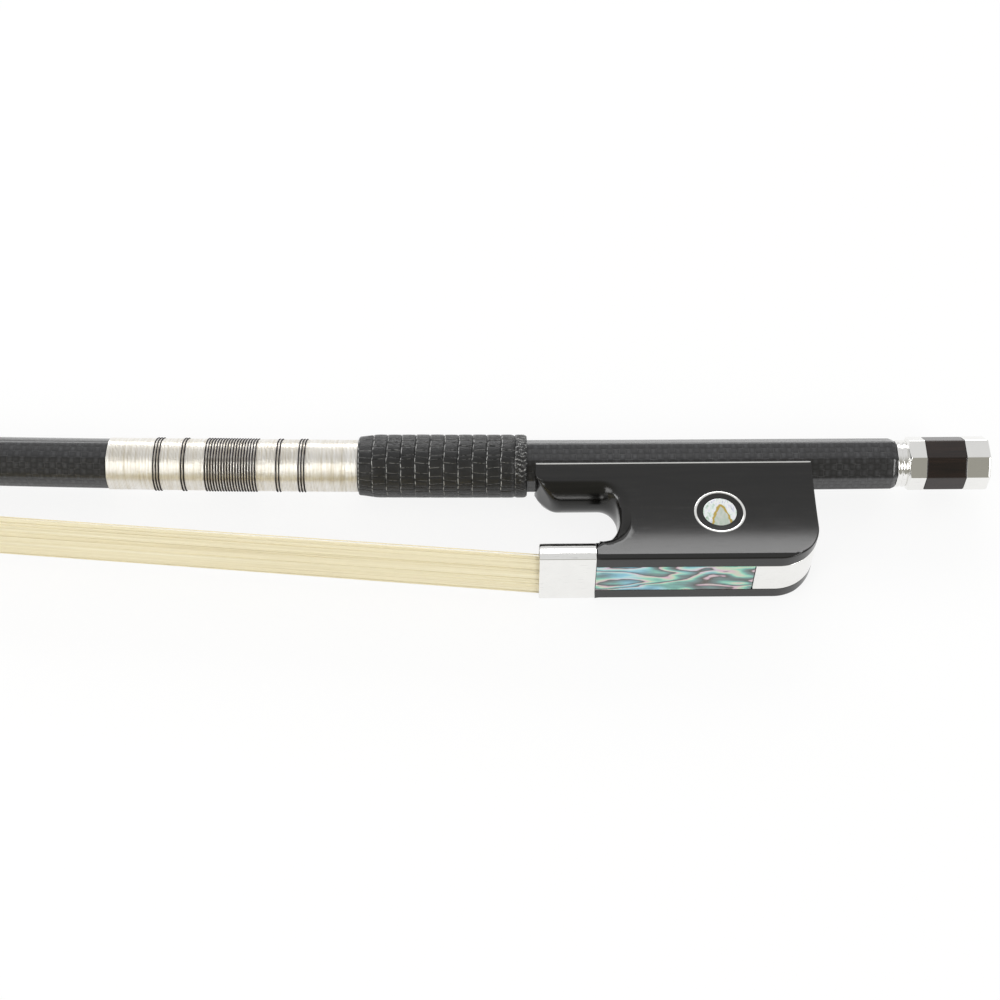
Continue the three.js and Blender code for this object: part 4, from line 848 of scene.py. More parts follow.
def gripParts():
    length, rowLength, tiles = grip["length"], grip["rowLength"], grip["tiles"]
    rowSteps = np.array([0, 0.02, 0.045, 0.07, 0.1, 0.15, 0.25, 0.5, 0.75, 0.85, 0.9, 0.93, 0.955, 0.98])
    s = ((np.arange(13)[:, None] + rowSteps[None]) * rowLength).ravel()
    ends = np.array([0, 0.04, 0.1, 0.18, 0.3, 0.45, 0.65])
    s = np.unique(np.concatenate([s[(s > 0.7) & (s < length - 0.7)], ends, length - ends,
                                  length - grip["roll"] + np.linspace(-0.4, 1.9, 14)]))[:, None]
    halfSteps = np.array([0, 0.07, 0.14, 0.24, 0.5, 0.76, 0.86, 0.93])
    place = np.append((np.arange(tiles * 2)[:, None] + halfSteps[None]).ravel(), tiles * 2.0)[None]
    turn = place / (tiles * 2) * 2 * pi
    drift = (0.3 * np.sin(7 * turn + 1) + 0.2 * np.sin(11 * turn + 2)
             + 0.16 * np.sin(s * 1.1 + 3 * np.sin(2 * turn)))
    angle = turn + drift * pi / tiles
    bend = 0.12 * np.sin(turn * 2 + 0.6) + 0.06 * np.sin(turn * 5 + 1.9) + 0.04 * np.sin(turn * 13)
    row = np.floor(s / rowLength + 1e-6)
    fromSeam = (s / rowLength - np.round(s / rowLength)) * rowLength
    tilePlace = place / 2 + 0.5 * (row % 2)
    fromSide = (tilePlace - np.round(tilePlace)) * pi * grip["flats"] / tiles
    tile = np.floor(tilePlace + 1e-6) % tiles
    lift = np.modf(np.abs(np.sin(row * 12.9898 + tile * 78.233) * 43758.5453))[0]
    # Seam relief share: least on the lower hair side, which is rubbed smooth; the same share also sets how
    # strong the painted highlight glints below are.
    reliefAndGlint = 0.22 + 0.78 * smoothStep((np.sin(angle - 0.4) + 0.72) / 0.7)
    acrossRow = smoothStep(np.abs(fromSeam) / grip["rowSeam"])
    inRow = 0.45 + 0.55 * smoothStep(np.abs(fromSide) / grip["tileSeam"])
    crown = 1 - 0.2 * (1 - np.clip(np.abs(fromSeam) / (rowLength / 2), 0, 1)) ** 2
    height = acrossRow * inRow * crown * (0.8 + 0.2 * lift)
    rolled = smoothStep((s - length + grip["roll"]) / 0.5)
    wrinkle = (0.68 + 0.12 * np.sin(angle * 47 + 3 * np.sin(angle * 4) + 1.5 * np.sin(s * 3))
               + 0.18 * np.sin(angle * 79 - 2 * np.sin(s * 5)) * np.cos(s * 11 + angle * 9))
    height = height * (1 - rolled) + rolled * wrinkle
    neck = smoothStep((grip["neck"] - s) / grip["neck"])
    end, begin = np.clip((length - s) / 0.9, 0, 1), np.clip(s / 0.3, 0, 1)
    flats = (grip["flats"] - (grip["flats"] - grip["neckFlats"]) * neck
             - 1.1 * (1 - np.sqrt(1 - (1 - end) ** 2)) - 0.35 * (1 - np.sqrt(1 - (1 - begin) ** 2))
             - 0.3 * np.exp(-((s - length + grip["roll"]) / 0.3) ** 2))
    corner = 1 + grip["cornerShare"] * (octagonReach(angle, grip["crispness"]) - 1)
    radius = flats / 2 * corner - grip["depth"] * (1 - 0.4 * neck) * reliefAndGlint * (1 - height)
    wall = np.full((1, place.shape[1]), grip["bore"])  # both ends, and back along the inside
    radius = np.concatenate([wall, radius, wall, wall])
    xs = s - bend * smoothStep(s / 2) * smoothStep((length - s) / 3)
    xs = grip["start"] + np.concatenate([xs[:1], xs, xs[-1:], xs[:1]])
    around = np.concatenate([angle[:1], angle, angle[-1:], angle[:1]])
    points = aroundStick(xs, around, radius)
    uv = np.stack([xs, around / (2 * pi) * 38], -1)
    # Painted highlights: edge paints near-white glints on the rims beside the row seams, thinner glints
    # along the tile seams, and glints on the crests of the rolled end's wrinkles on its upper side, all
    # strongest where the light falls from above.
    rim = np.exp(-((fromSeam - 0.155) / 0.055) ** 2) * smoothStep((np.abs(fromSide) - 0.05) / 0.25)
    along = 0.3 * np.exp(-((fromSide - 0.11) / 0.045) ** 2) * acrossRow
    edge = np.maximum(rim, along) * (reliefAndGlint - 0.2) * (1 - rolled) + 0.6 * rolled * (
        smoothStep((wrinkle - 0.72) / 0.2) * smoothStep(2 * np.sin(angle) - 0.6))
    return [gridPart(points, uv)], np.concatenate([edge[:1] * 0, edge, edge[-1:] * 0, edge[:1] * 0])


gripGrid, gripGlintTones = gripParts()
makePiece("gripLeather", gripGrid, finishes["leather"], "stick", ["leather_grip"], 180,
          gripGlintTones)


# Frog: the edge is a grid, one outline of the side view for each place across; both sides are nets.
frog = {"length": 53.2, "depth": 25.8, "width": 14.3, "topDrop": 3.0, "topHalf": 5.1, "lip": 1.15,
        "heel": 8.0, "throatTop": 9.9, "throatMiddle": 13.3, "throatTopStart": 12.0, "throatBack": 15.7,
        "keel": 3.2, "keelPower": 1.5, "relief": 2.2, "reliefPower": 9, "lowRelief": 1.7, "seat": 11.08,
        "nose": [[-3, 0], [-4, -0.16], [-5.1, -0.12], [-6, 0.2], [-7, 0.8], [-7.85, 1.38], [-8.5, 1.95],
                 [-9.1, 2.6], [-9.6, 3.25], [-10.0, 4.0], [-10.25, 4.9], [-10.32, 5.6]],
        "noseFarCut": 0.75, "noseFarCorner": 1.05, "noseCornerRows": 7,
        "archHeight": 6.3, "archPower": 2.3, "channel": 5.5, "grooveHalf": 4.24, "groove": 0.93,
        "grooveTop": 6.56, "flare": 2.05, "flarePower": 3.1, "soft": 0.28, "noseSoft": 0.35}


# Half width: the flank flares out, more and more, down to the upright lip.
def halfAt(y):
    lipTop = -(frog["depth"] - frog["lip"])
    share = np.clip((-frog["topDrop"] - y) / (-lipTop - frog["topDrop"]), 0, 1)
    return frog["topHalf"] + frog["flare"] * share ** frog["flarePower"]


# Superellipse: the height times the root of one minus the share across, both to the arch's power.
def archAt(across, half, height):
    power = frog["archPower"]
    return height * (1 - np.clip(np.abs(across) / half, 0, 1) ** power) ** (1 / power)


# Top of the frog: flat rims beside the lower half of an octagon that takes the stick.
def troughAt(z):
    return np.clip(np.abs(z) - frog["channel"] * math.sqrt(2), -frog["channel"], -frog["topDrop"])


noseLine = smoothLine(frog["nose"], 161)[::-1]


# Front of the nose for a depth y: a smooth line through its keys, cut back on the far side below
# the lining of the channel, most at the far lower corner.
def noseAt(y, z):
    far = (1 - z / frog["topHalf"]) / 2
    cut = (frog["noseFarCut"] * far * smoothStep((-6.2 - y) / 2.4)
           + frog["noseFarCorner"] * smoothStep((far - 0.72) / 0.28) * smoothStep((-3.5 - y) / 2))
    return np.interp(y, noseLine[:, 0], noseLine[:, 1]) + cut


# Rows of the side view: nose, underside, two arcs of the throat, ferrule seat, foot, heel, back, top.
frogSteps = {"nose": np.concatenate([np.linspace(0, 0.8, 16), np.linspace(0.83, 1, 7)]),
             "under": np.linspace(0, 1, 15)[1:], "arc": np.linspace(0, 1, 16)[1:],
             "arc2": np.linspace(0, 1, 16)[1:], "seat": np.linspace(0, 1, 14),
             "foot": np.linspace(0, 1, 44)[1:], "heel": np.linspace(0, 1, 30)[1:],
             "rear": np.array([-17, -15.4, -13.8, -12, -10.2, -8.4, -7, -frog["grooveTop"], -6.52]),
             "top": np.concatenate([[0.03, 0.08, 0.125], np.linspace(0.14, 1, 34)])}
edges = np.cumsum([0] + [len(steps) for steps in frogSteps.values()])
frogRows = {key: slice(edges[k], edges[k + 1]) for k, key in enumerate(frogSteps)}
frogCorners = [0, edges[1] - 1, edges[4], edges[5] - 1, edges[8] + 2, edges[9] - 1]


# The side view for places z across it, as x and y [rows, columns]; w is the share of the half width.
def frogOutline(w, z, side):
    length, depth = frog["length"], frog["depth"]
    eased = (np.sqrt(np.clip(w, 0, 1) ** 2 + 0.01) - 0.1) / (math.sqrt(1.01) - 0.1)
    rounded = 1 - (1 - eased ** frog["keelPower"]) ** (1 / frog["keelPower"])
    rows = frogRows
    x, y = np.zeros_like(z), np.zeros_like(z)

    def t(key):
        return frogSteps[key][:, None]

    def part(values, key):
        return values[rows[key]]

    rim, top = troughAt(z), -frog["throatTop"] + frog["keel"] * rounded
    back = frog["throatBack"] + frog["relief"] * np.clip(w, 0, 1) ** frog["reliefPower"]
    floor = -depth + archAt(z, frog["width"] / 2, frog["archHeight"])
    y[rows["nose"]] = part(rim, "nose") + (part(top, "nose") - part(rim, "nose")) * t("nose")
    x[rows["nose"]] = noseAt(y[rows["nose"]], part(z, "nose") * side)
    y[rows["under"]] = part(top, "under")
    start = noseAt(y[rows["under"]], part(z, "under") * side)
    x[rows["under"]] = start + (frog["throatTopStart"] - start) * t("under")
    # The nose's lower corner is rounded by a quadratic curve through the rows about it.
    bendStart, bendEnd = edges[1] - frog["noseCornerRows"], edges[1] + 1
    share = np.linspace(0, 1, bendEnd - bendStart + 1)[:, None]
    for line in (x, y):
        first, corner, last = line[bendStart], line[edges[1] - 1], line[bendEnd]
        line[bendStart:bendEnd + 1] = (
            (1 - share) ** 2 * first + 2 * share * (1 - share) * corner + share ** 2 * last)
    upperY = -frog["throatMiddle"]
    arc = t("arc") * pi / 2
    x[rows["arc"]] = frog["throatTopStart"] + (part(back, "arc") - frog["throatTopStart"]) * np.sin(arc)
    y[rows["arc"]] = upperY + (part(top, "arc") - upperY) * np.cos(arc)
    lowX, lowY = frog["throatBack"] - 4.0, upperY - 2.0
    x[rows["arc2"]] = lowX + (part(back, "arc2") - lowX) * np.cos(arc)
    y[rows["arc2"]] = lowY - (lowY - part(floor, "arc2")) * np.sin(arc)
    sunk = frog["groove"] * (np.abs(z) < frog["grooveHalf"])
    x[rows["seat"]] = frog["seat"]
    y[rows["seat"]] = (part(floor, "seat")
                       + (-depth + part(sunk, "seat") - part(floor, "seat")) * t("seat"))
    heelX = length - frog["heel"]
    x[rows["foot"]] = frog["seat"] + (heelX - frog["seat"]) * t("foot")
    y[rows["foot"]] = -depth + part(sunk, "foot")
    turn = t("heel") * pi / 2
    x[rows["heel"]] = heelX + (frog["heel"] - part(sunk, "heel")) * np.sin(turn)
    y[rows["heel"]] = -depth + frog["heel"] - (frog["heel"] - part(sunk, "heel")) * np.cos(turn)
    y[rows["rear"]] = t("rear")
    x[rows["rear"]] = length - part(sunk, "rear") * (t("rear") <= -frog["grooveTop"])
    last = frogSteps["rear"][-1]
    y[rows["top"]] = last + (part(rim, "top") - last) * np.minimum(1, t("top") * 8)
    along = np.maximum(0, t("top") - 0.125) / 0.875
    noseTop = noseAt(part(rim, "top"), part(z, "top") * side)
    x[rows["top"]] = length * (1 - along) + noseTop * along
    return x, y


# One half of the edge, from the middle to the side given, with the round-over into the side. The
# throat's own curve already ends level with the side, so its arcs have none, or lowRelief.
def frogHalf(side):
    core = np.array([0, 0.8, 1.6, 2.26, 2.3, 2.8, 3.3, 3.8, frog["grooveHalf"] - 0.01,
                     frog["grooveHalf"] + 0.01, 4.5, 4.79])
    q = np.array([0.14, 0.34, 0.54, 0.7, 0.82, 0.91, 0.965, 0.99, 1.0])
    total = edges[-1]
    order = np.arange(total)
    inThroat = (order >= edges[1] - 1) & (order < edges[4])
    low = np.zeros(total)
    low[frogRows["arc2"]] = frog["lowRelief"] * smoothStep(frogSteps["arc2"] * 1.6)
    z = np.tile(np.concatenate([core, core[-1] + 0.3 * q]), (total, 1))
    half = np.full_like(z, frog["topHalf"] + 0.3)
    soft = np.full(total, 0.02)
    for _ in range(9):  # the width depends on the outline and the outline on the width
        edge = half[:, -1] - soft
        z[:, len(core):] = core[-1] + (edge[:, None] - core[-1]) * q[None]
        x, y = frogOutline(np.clip(z / edge[:, None], 0, 1), z, side)
        half = halfAt(y)
        line = np.stack([x[:, -1], y[:, -1]], -1)
        travelled = np.concatenate([[0], np.cumsum(np.linalg.norm(np.diff(line, axis=0), axis=1))])
        toCorner = np.abs(travelled[:, None] - travelled[frogCorners][None]).min(1)
        onNose = (order < edges[1]) & (y[:, -1] < -3.3)
        soft = np.clip(0.45 * toCorner + 0.02, 0, np.where(onNose, frog["noseSoft"], frog["soft"]))
        soft = np.where(y[:, -1] > -3.01, np.minimum(soft, 0.1), soft)
        soft = np.where(inThroat, low, soft)
    closedLine = line[:-1]
    ahead, past = np.roll(closedLine, -1, 0) - closedLine, closedLine - np.roll(closedLine, 1, 0)
    tangent = unit(unit(ahead) + unit(past))
    inward = np.stack([-tangent[:, 1], tangent[:, 0]], -1)
    inward = np.concatenate([inward, inward[:1]])
    turn = np.linspace(0, pi / 2, 6)[1:]
    reach = soft[:, None] * (1 - np.cos(turn))[None]
    fx = line[:, :1] + inward[:, :1] * reach
    fy = line[:, 1:] + inward[:, 1:] * reach
    fz = z[:, -1:] + soft[:, None] * np.sin(turn)[None]
    fz[:, -1] = halfAt(fy[:, -1])
    return [np.concatenate(pair, 1) for pair in ((x, fx), (y, fy), (z, fz))]


# A side: its border and a grid of places inside it joined into a net, lifted to the half width. The
# grid is closest at the lip, where the flare ends.
def frogSide(borderX, borderY, side, spacing=0.7, keepOff=0.28):
    border = np.stack([borderX, borderY], -1)[:-1]
    levels = np.concatenate([[-25.35, -25.05, -24.85], np.linspace(-24.72, -24.6, 4),
                             [-24.5, -24.2, -23.8, -23.3], np.arange(-22.7, -3.2, spacing)])
    gx, gy = np.meshgrid(np.arange(0.3, frog["length"], spacing), levels)
    spots = np.stack([gx.ravel(), gy.ravel()], -1)
    a, b = border[None], np.roll(border, -1, 0)[None]
    p = spots[:, None]
    rise = b[..., 1] - a[..., 1]
    rise = np.where(rise == 0, 1e-9, rise)
    crossing = ((a[..., 1] > p[..., 1]) != (b[..., 1] > p[..., 1])) & (
        p[..., 0] < (b[..., 0] - a[..., 0]) * (p[..., 1] - a[..., 1]) / rise + a[..., 0])
    near = np.sqrt(((p - a) ** 2).sum(-1)).min(1)
    spots = spots[(crossing.sum(1) % 2 == 1) & (near > keepOff)]
    places = np.concatenate([border, spots]).tolist()
    net = delaunay_2d_cdt(places, [], [list(range(len(border)))], 1, 1e-5)
    places = np.array([list(p) for p in net[0]])
    points = np.stack([places[:, 0] + bow["frogFront"], places[:, 1], side * halfAt(places[:, 1])], -1)
    return points, [net[2]], np.zeros((len(points), 2))


def frogParts():
    near, far = frogHalf(1), frogHalf(-1)
    far[2] = -far[2]
    rim = np.stack([np.concatenate([b[:, :0:-1], a], 1) for a, b in zip(near, far)], -1)
    rim[..., 0] += bow["frogFront"]
    return [gridPart(rim)] + [frogSide(x[:, -1], y[:, -1], side)
                              for (x, y, _), side in ((near, 1), (far, -1))]


# A loop of z and y stood up at a place x.
def loopAt(loop, x):
    return np.stack([np.full(len(loop), x), loop[:, 1], loop[:, 0]], -1)


# A loop of z and y carried from one x to another, drawn in towards its middle at the ends.
def extruded(loop, stations, insets):
    inward = unit(loop.mean(0) - loop)
    return gridPart(np.stack([loopAt(loop + inward * inset, x) for x, inset in zip(stations, insets)]),
                    capped=True)


# Outline of a D: a superellipse arch from side to side over a flat base with rounded lower corners.
def archLoop(half, height, base, corner, steps=64):
    phi = np.linspace(0, pi, steps)
    power = 2 / frog["archPower"]
    z = half * np.sign(np.cos(phi)) * np.abs(np.cos(phi)) ** power
    y = corner + (height - corner) * np.sin(phi) ** power
    turn = np.linspace(0, pi / 2, 6)[1:]
    left = np.stack([-half + corner * (1 - np.cos(turn)), corner * (1 - np.sin(turn))], -1)
    floor = np.stack([np.linspace(-half + corner, half - corner, 14)[1:-1], np.zeros(12)], -1)
    right = np.stack([half - corner * (1 - np.sin(turn)), corner * (1 - np.cos(turn))], -1)
    loop = np.concatenate([np.stack([z, y], -1), left, floor, right])
    loop = np.concatenate([loop, loop[:1]])
    return loop + [0, base]


# Tongue: the upper part of a D that fills the ferrule above the wedge.
tongue = {"half": 6.59, "height": 5.77, "corner": 0.1, "low": -22.3, "lowHalf": 5.58,
          "stations": (0.9, 0.95, 11.3), "insets": (0.05, 0, 0)}
front = bow["frogFront"]
tongueLoop = archLoop(tongue["half"], tongue["height"], -frog["depth"], tongue["corner"], 48)
tongueLoop = np.stack([np.clip(tongueLoop[:, 0], -tongue["lowHalf"], tongue["lowHalf"]),
                       np.maximum(tongueLoop[:, 1], tongue["low"])], -1)
tonguePart = extruded(tongueLoop, front + np.array(tongue["stations"]), tongue["insets"])
makePiece("frogBlock", frogParts() + [tonguePart], finishes["ebony"], "frog", ["frog"], 42)


# Both edges of the channel's lining lie folded out on the frog's rims, a bright line by the stick.
rimTrim = {"inner": 4.32, "outer": 5.06, "low": -3.01, "high": -2.72, "edge": 0.05, "farSetback": 0.05}


def rimTrimPart(side):
    inner, outer, low, high, edge, farSetback = rimTrim.values()
    length = frog["length"]
    corners = [(inner, low), (outer - edge, low), (outer, low + edge),
               (outer, high - edge), (outer - edge, high), (inner, high)]
    loop = np.array(corners + corners[:1]) * [side, 1]
    xs = np.concatenate([[0.1, 0.15], np.linspace(0.4, length - 0.4, 12), [length - 0.15, length - 0.1]])
    xs = xs + (side < 0) * np.linspace(farSetback, 0, len(xs)) + front
    return gridPart(np.stack([loopAt(loop, x) for x in xs]), capped=True)


makePiece("rimTrim", [rimTrimPart(1), rimTrimPart(-1)], finishes["silver"], "frog", (),
          40)


# Ferrule: a D-shaped ring; its section runs out over the wall and back inside it.
ferrule = {"start": 0.35, "length": 10.65, "width": 14.24, "height": 6.3, "wall": 0.45}


def ferruleParts():
    half, wall = ferrule["width"] / 2, ferrule["wall"]
    outer = archLoop(half, ferrule["height"], -frog["depth"], 0.16)
    inner = archLoop(half - wall, ferrule["height"] - 2 * wall, -frog["depth"] + wall, 0.12)
    frontEnd, backEnd = front + ferrule["start"], front + ferrule["start"] + ferrule["length"]
    section = [(frontEnd + x, share) for x, share in (
        (0.3, 0), (0.12, 0), (0.03, 0.2), (0, 0.45), (0.02, 0.72), (0.12, 0.94), (0.3, 1), (2.5, 1),
        (5, 1), (8, 1))]
    section += [(backEnd + x, share) for x, share in ((-0.12, 1), (-0.03, 0.95), (0, 0.8), (0, 0), (-3, 0))]
    section += [(frontEnd + 3, 0), (frontEnd + 0.3, 0)]
    return [gridPart(np.stack([loopAt(inner + (outer - inner) * share, x) for x, share in section]))]


makePiece("ferruleRing", ferruleParts(), finishes["silver"], "frog", ["ferrule"], 40)


# A flat bar carried along a path in x and y: rounded edges, ends eased; inward points into the frog.
def barParts(path, inward, half, thickness, edge, taper=0.0):
    turn = np.linspace(0, pi / 2, 6)
    arc = np.stack([half - edge + edge * np.sin(turn), edge * (1 - np.cos(turn))], -1)
    face = np.stack([np.linspace(-1, 1, 15) * (half - edge), np.zeros(15)], -1)
    sideIn = np.array([[half + taper, thickness], [-half - taper, thickness]])
    loop = np.concatenate([face, arc[1:], sideIn, (arc * [-1, 1])[::-1][:-1], face[:1]])
    ends = np.ones(len(path))
    ends[[0, -1]] = 0
    rows = path[:, None] + inward[:, None] * (loop[None, :, 1:] + edge * 0.8 * (1 - ends)[:, None, None])
    rows = np.concatenate([rows, np.broadcast_to(loop[None, :, :1], (*rows.shape[:2], 1))], -1)
    return gridPart(rows, capped=True)


slide = {"start": 11.1, "length": 29.7, "half": 4.17, "thickness": 0.85, "edge": 0.12, "taper": 0.04}
slideX = np.concatenate([[0, 0.1, 0.2], np.linspace(0.4, slide["length"] - 0.4, 34),
                         slide["length"] - np.array([0.2, 0.1, 0])]) + front + slide["start"]
slidePath = np.stack([slideX, np.full_like(slideX, -frog["depth"])], -1)
slidePart = barParts(slidePath, np.tile([[0.0, 1.0]], (len(slideX), 1)), slide["half"],
                     slide["thickness"], slide["edge"], slide["taper"])
makePiece("abaloneSlide", [slidePart], finishes["shell"], "frog", ["slide_inlay"], 40)

heelPlate = {"start": 40.96, "half": 4.18, "thickness": 0.88, "edge": 0.14, "top": 6.6, "pin": 0.55,
             "pinDrop": 9.4}


# The plate runs along the foot, round a quarter circle and up the back.
def heelPlateParts():
    length, depth, heel = frog["length"], frog["depth"], frog["heel"]
    flatX = np.concatenate([[0, 0.1], np.linspace(0.3, length - heel - heelPlate["start"], 5)])
    flatX = flatX + heelPlate["start"]
    angle = np.linspace(0, pi / 2, 34)[1:]
    upY = np.concatenate([np.linspace(-depth + heel, -heelPlate["top"] - 0.3, 12)[1:],
                          [-heelPlate["top"] - 0.1, -heelPlate["top"]]])
    flat, up = np.ones(len(flatX)), np.ones(len(upY))
    x = np.concatenate([flatX, length - heel + heel * np.sin(angle), length * up]) + front
    y = np.concatenate([-depth * flat, -depth + heel * (1 - np.cos(angle)), upY])
    inward = np.stack([np.concatenate([0 * flat, -np.sin(angle), -up]),
                       np.concatenate([flat, np.cos(angle), 0 * up])], -1)
    plate = barParts(np.stack([x, y], -1), inward, heelPlate["half"], heelPlate["thickness"],
                     heelPlate["edge"])
    return [plate, pinPart((length, -heelPlate["pinDrop"]), (1, 0), heelPlate["pin"])]


# Pin head: a turned profile with a fine groove round it, standing a hair above the plate.
def pinPart(center, normal, radius):
    profile = np.array([[0.0, -0.05], [1.18, -0.05], [1.1, 0.006], [1.0, 0.004], [0.97, 0.012],
                        [0.6, 0.03], [0.2, 0.036], [0.0, 0.036]])
    angle = np.linspace(0, 2 * pi, 33)[None]
    reach, lift = profile[:, :1] * radius, profile[:, 1:]
    u = reach * np.cos(angle)
    w = reach * np.sin(angle)
    lift = lift + 0 * angle - 0.036
    x = center[0] + normal[0] * lift + abs(normal[1]) * u
    y = center[1] + normal[1] * lift + abs(normal[0]) * u
    return gridPart(np.stack([x + front, y, w], -1))


makePiece("heelPlate", heelPlateParts(), finishes["silver"], "frog", ["heel_plate"], 40)


# Side eyes: rings of a turned profile laid on the frog's flank.
eyes = {"x": 34.77, "drop": 14.45, "ringOut": 4.875, "ringIn": 4.42, "dot": 3.2, "patternShift": 0.25}


def eyePart(profile, side, sides=97):
    angle = np.linspace(0, 2 * pi, sides)[None]
    reach, lift = np.array(profile)[:, :1], np.array(profile)[:, 1:]
    x = front + eyes["x"] + reach * np.cos(angle)
    y = -eyes["drop"] + reach * np.sin(angle)
    return gridPart(np.stack([x, y, side * (halfAt(y) + lift)], -1))


eyeMiddle = np.array([front + eyes["x"] + eyes["patternShift"], -eyes["drop"]]) + rowShift[:2]
finishes["pearl"] = pearlMaterial((eyeMiddle * 0.001).tolist())
outR, inR, dotR = eyes["ringOut"], eyes["ringIn"], eyes["dot"]
ringProfile = [(outR, -0.3), (outR, 0.0), (outR - 0.05, 0.035), (outR - 0.12, 0.05), (inR + 0.12, 0.05),
               (inR + 0.05, 0.035), (inR, 0.0), (inR, -0.3), (outR, -0.3)]
dotProfile = [(0.0, -0.3), (dotR, -0.3), (dotR, -0.01), (dotR - 0.05, 0.02), (dotR - 0.16, 0.035),
              (dotR * 0.8, 0.045), (dotR * 0.5, 0.06), (dotR * 0.2, 0.065), (0.0, 0.065)]
for label, side in (("Near", 1), ("Far", -1)):
    makePiece(f"eyeRing{label}", [eyePart(ringProfile, side)], finishes["silver"], "frog",
              [f"eye_ring_{label.lower()}"], 50)
    makePiece(f"eyeDot{label}", [eyePart(dotProfile, side)], finishes["pearl"], "frog",
              [f"eye_dot_{label.lower()}"], 50)


# Button: radius over x and angle, the lesser of an octagon and the turned limits in x.
button = {"flats": 9.87, "crispness": 150, "collar": (0.08, 2.1), "collarRadius": 4.4, "beads": 0.22,
          "chamfer": (2.12, 3.1), "chamferRadius": 4.62, "chamferSlope": 1.5, "noLimit": 9.0,
          "coreX": [5.62, 5.66, 5.75, 5.8, 9.5, 13.1, 13.15, 13.24, 13.28],
          "coreShare": [0.96, 0.975, 0.985, 0.985, 0.985, 0.985, 0.985, 0.975, 0.96],
          "capX": [13.32, 13.36, 13.45, 13.5, 16.5, 17.2, 17.55, 17.6, 17.7, 17.78, 17.86, 17.93, 17.98,
                   18, 18, 17.96, 17.96],
          "capShare": [0.985, 0.995, 1, 1, 1, 1, 1, 0.999, 0.993, 0.984, 0.972, 0.955, 0.93, 0.9, 0.3,
                       0.28, 0.02]}
fineAngles = np.linspace(0, 2 * pi, 241)


def turnedOctagon(xs, limit, octagonShare):
    xs, limit, octagonShare = [np.broadcast_to(v, len(xs))[:, None] for v in (xs, limit, octagonShare)]
    octagon = button["flats"] / 2 * octagonReach(fineAngles, button["crispness"])[None] * octagonShare
    radius = np.minimum(octagon, limit)
    return np.stack(np.broadcast_arrays(xs, -radius * np.cos(fineAngles)[None],
                                        radius * np.sin(fineAngles)[None]), -1)


# The collar is turned with two beads, each half a sine; the ring behind it starts with a chamfer.
collarStart, collarEnd = button["collar"]
collarX = np.linspace(collarStart, collarEnd, 40)
beads = np.abs(np.sin((collarX - collarStart) / (collarEnd - collarStart) * 2 * pi)) ** 0.8
collar = turnedOctagon(collarX, button["collarRadius"] + button["beads"] * beads, 2)
slopeX = np.linspace(*button["chamfer"], 26)
chamferX = np.concatenate([[2.1], slopeX, [3.4, 4.2, 5.2, 5.5, 5.57]])
chamferR = np.concatenate([[4.32], button["chamferRadius"] + (slopeX - slopeX[0]) * button["chamferSlope"],
                           np.full(5, button["noLimit"])])
ring = turnedOctagon(chamferX, chamferR, np.append(np.ones(len(chamferX) - 1), 0.985))
core = turnedOctagon(button["coreX"], button["noLimit"], button["coreShare"])
cap = turnedOctagon(button["capX"], button["noLimit"], button["capShare"])
for name, points, finish, node, slot in (
        ("buttonRing", np.concatenate([collar, ring]), "silver", "button_front_ring", "nickel_silver"),
        ("buttonCore", core, "core", "button_core", "ebony"),
        ("buttonCap", cap, "silver", "button_end_cap", "nickel_silver")):
    makePiece(name, [gridPart(points, capped=True)], finishes[finish], "button", [node], 30)


# Hair knots, hidden in the mortises of the head and the frog.
knots = {
    "headKnot": ("stick", "head_hair_knot", {
        "center": onHead(5.18 + 1.6, 7.52 - 1.6, 0), "drum": 3.1, "width": 6.8, "tailSide": 1,
        "tailLow": -5.0, "turn": -headTilt}),
    "frogKnot": ("frog", "frog_hair_knot", {
        "center": np.array([-48.31, -18.38, 0]), "drum": 3.7, "width": 7.0, "tailSide": -1,
        "tailLow": -4.6, "turn": 0.0})}
for name, (body, node, shape) in knots.items():
    drumParts, bindingParts = knotParts(**shape)
    makePiece(name, drumParts, finishes["hair"], body, [node], 180)
    makePiece(name + "Binding", bindingParts, finishes["thread"], body, (), 180)

# Pieces that show the CAD's own solids.
for node, finish in (("head_plug", "wood"), ("underslide", "silver"), ("eyelet", "brass"),
                     ("ferrule_wedge", "wood"), ("frog_plug", "wood"), ("slide", "ebony"),
                     ("screw", "steel")):
    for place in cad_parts[node].material_slots:
        place.material = finishes[finish]
print("pieces ready")


# Studio: pale floor, even world light, soft lamps behind, on both sides in front, and at the left.
studio = {"floor": (0.95, 0.95, 0.95), "floorReach": 10.0, "floorDrop": 0.0002, "floorGlow": 0.86,
          "behind": (0.76, 0.76, 0.76), "front": (0.35, 0.34, 0.3), "aim": (0.26, -0.02, 0.0), "lamps": [
              ("backLamp", (0.26, 1.0, 0.56), (0.95, 0.42), 5.2),
              ("leftLamp", (-0.6, -0.75, 0.6), (0.6, 0.6), 4.4),
              ("rightLamp", (1.15, -0.75, 0.6), (0.5, 0.5), 4.8),
              ("sideLamp", (-0.75, -0.07, 0.36), (0.34, 0.34), 2.6)]}
floorMesh = bpy.data.meshes.new("studioFloor")
floorMesh.from_pydata([(x * studio["floorReach"], y * studio["floorReach"], -studio["floorDrop"])
                       for x, y in ((-1, -1), (1, -1), (1, 1), (-1, 1))], [], [(0, 1, 2, 3)])
floorMaterial, floorTree, floorShader, floorPlace, _ = newMaterial("paleFloor", Roughness=0.9)
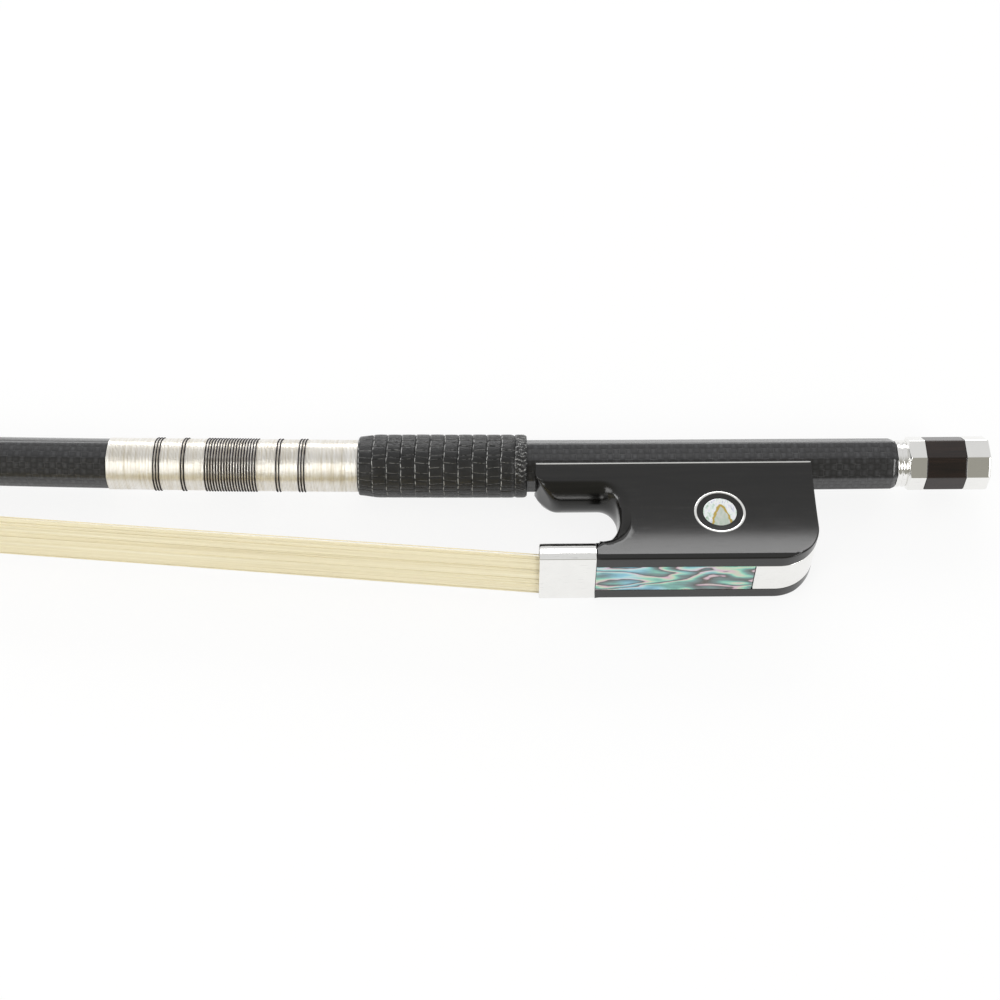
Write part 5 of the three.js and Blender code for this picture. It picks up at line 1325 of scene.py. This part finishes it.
floorShader.inputs["Specular IOR Level"].default_value = 0.0
floorTint = ramp(floorTree, noise(floorTree, floorPlace, 6.0, 2.0), [
    (0.3, studio["floor"]), (0.7, tuple(c * 0.99 for c in studio["floor"]))])
floorTree.links.new(floorTint, floorShader.inputs["Base Color"])
# Seen by the camera or in a shiny surface the floor is nearly white, and still takes shadows.
rays = floorTree.nodes.new("ShaderNodeLightPath").outputs
seen = calc(floorTree, "MAXIMUM", rays["Is Camera Ray"],
            calc(floorTree, "MAXIMUM", rays["Is Glossy Ray"], rays["Is Transmission Ray"]))
white = addNode(floorTree, "ShaderNodeEmission", {"Color": (1, 1, 1, 1), "Strength": 1.0})
mixed = addNode(floorTree, "ShaderNodeMixShader", links={
    0: times(floorTree, seen, studio["floorGlow"]), 1: floorShader.outputs[0], 2: white.outputs[0]})
floorTree.links.new(mixed.outputs[0], floorTree.nodes["Material Output"].inputs["Surface"])
floorMesh.materials.append(floorMaterial)
floorObject = bpy.data.objects.new("studioFloor", floorMesh)
bpy.context.scene.collection.objects.link(floorObject)

world = bpy.data.worlds.new("studioWorld")
bpy.context.scene.world = world
world.use_nodes = True
sky = world.node_tree
generated = sky.nodes.new("ShaderNodeTexCoord").outputs["Generated"]
direction = addNode(sky, "ShaderNodeSeparateXYZ", links={0: generated})
glow = blendColor(sky, spread(sky, direction.outputs[1], -0.55, 0.2), studio["front"], studio["behind"])
sky.links.new(glow, sky.nodes["Background"].inputs["Color"])
sky.nodes["Background"].inputs["Strength"].default_value = 1.0

for name, place, (width, height), power in studio["lamps"]:
    lamp = bpy.data.lights.new(name, "AREA")
    lamp.shape, lamp.size, lamp.size_y, lamp.energy = "RECTANGLE", width, height, power
    lampObject = bpy.data.objects.new(name, lamp)
    bpy.context.scene.collection.objects.link(lampObject)
    lampAim = (Vector(studio["aim"]) - Vector(place)).to_track_quat("-Z", "Y")
    lampObject.matrix_world = Matrix.Translation(place) @ lampAim.to_matrix().to_4x4()

bpy.context.scene.view_settings.view_transform = "Standard"
print("studio ready")
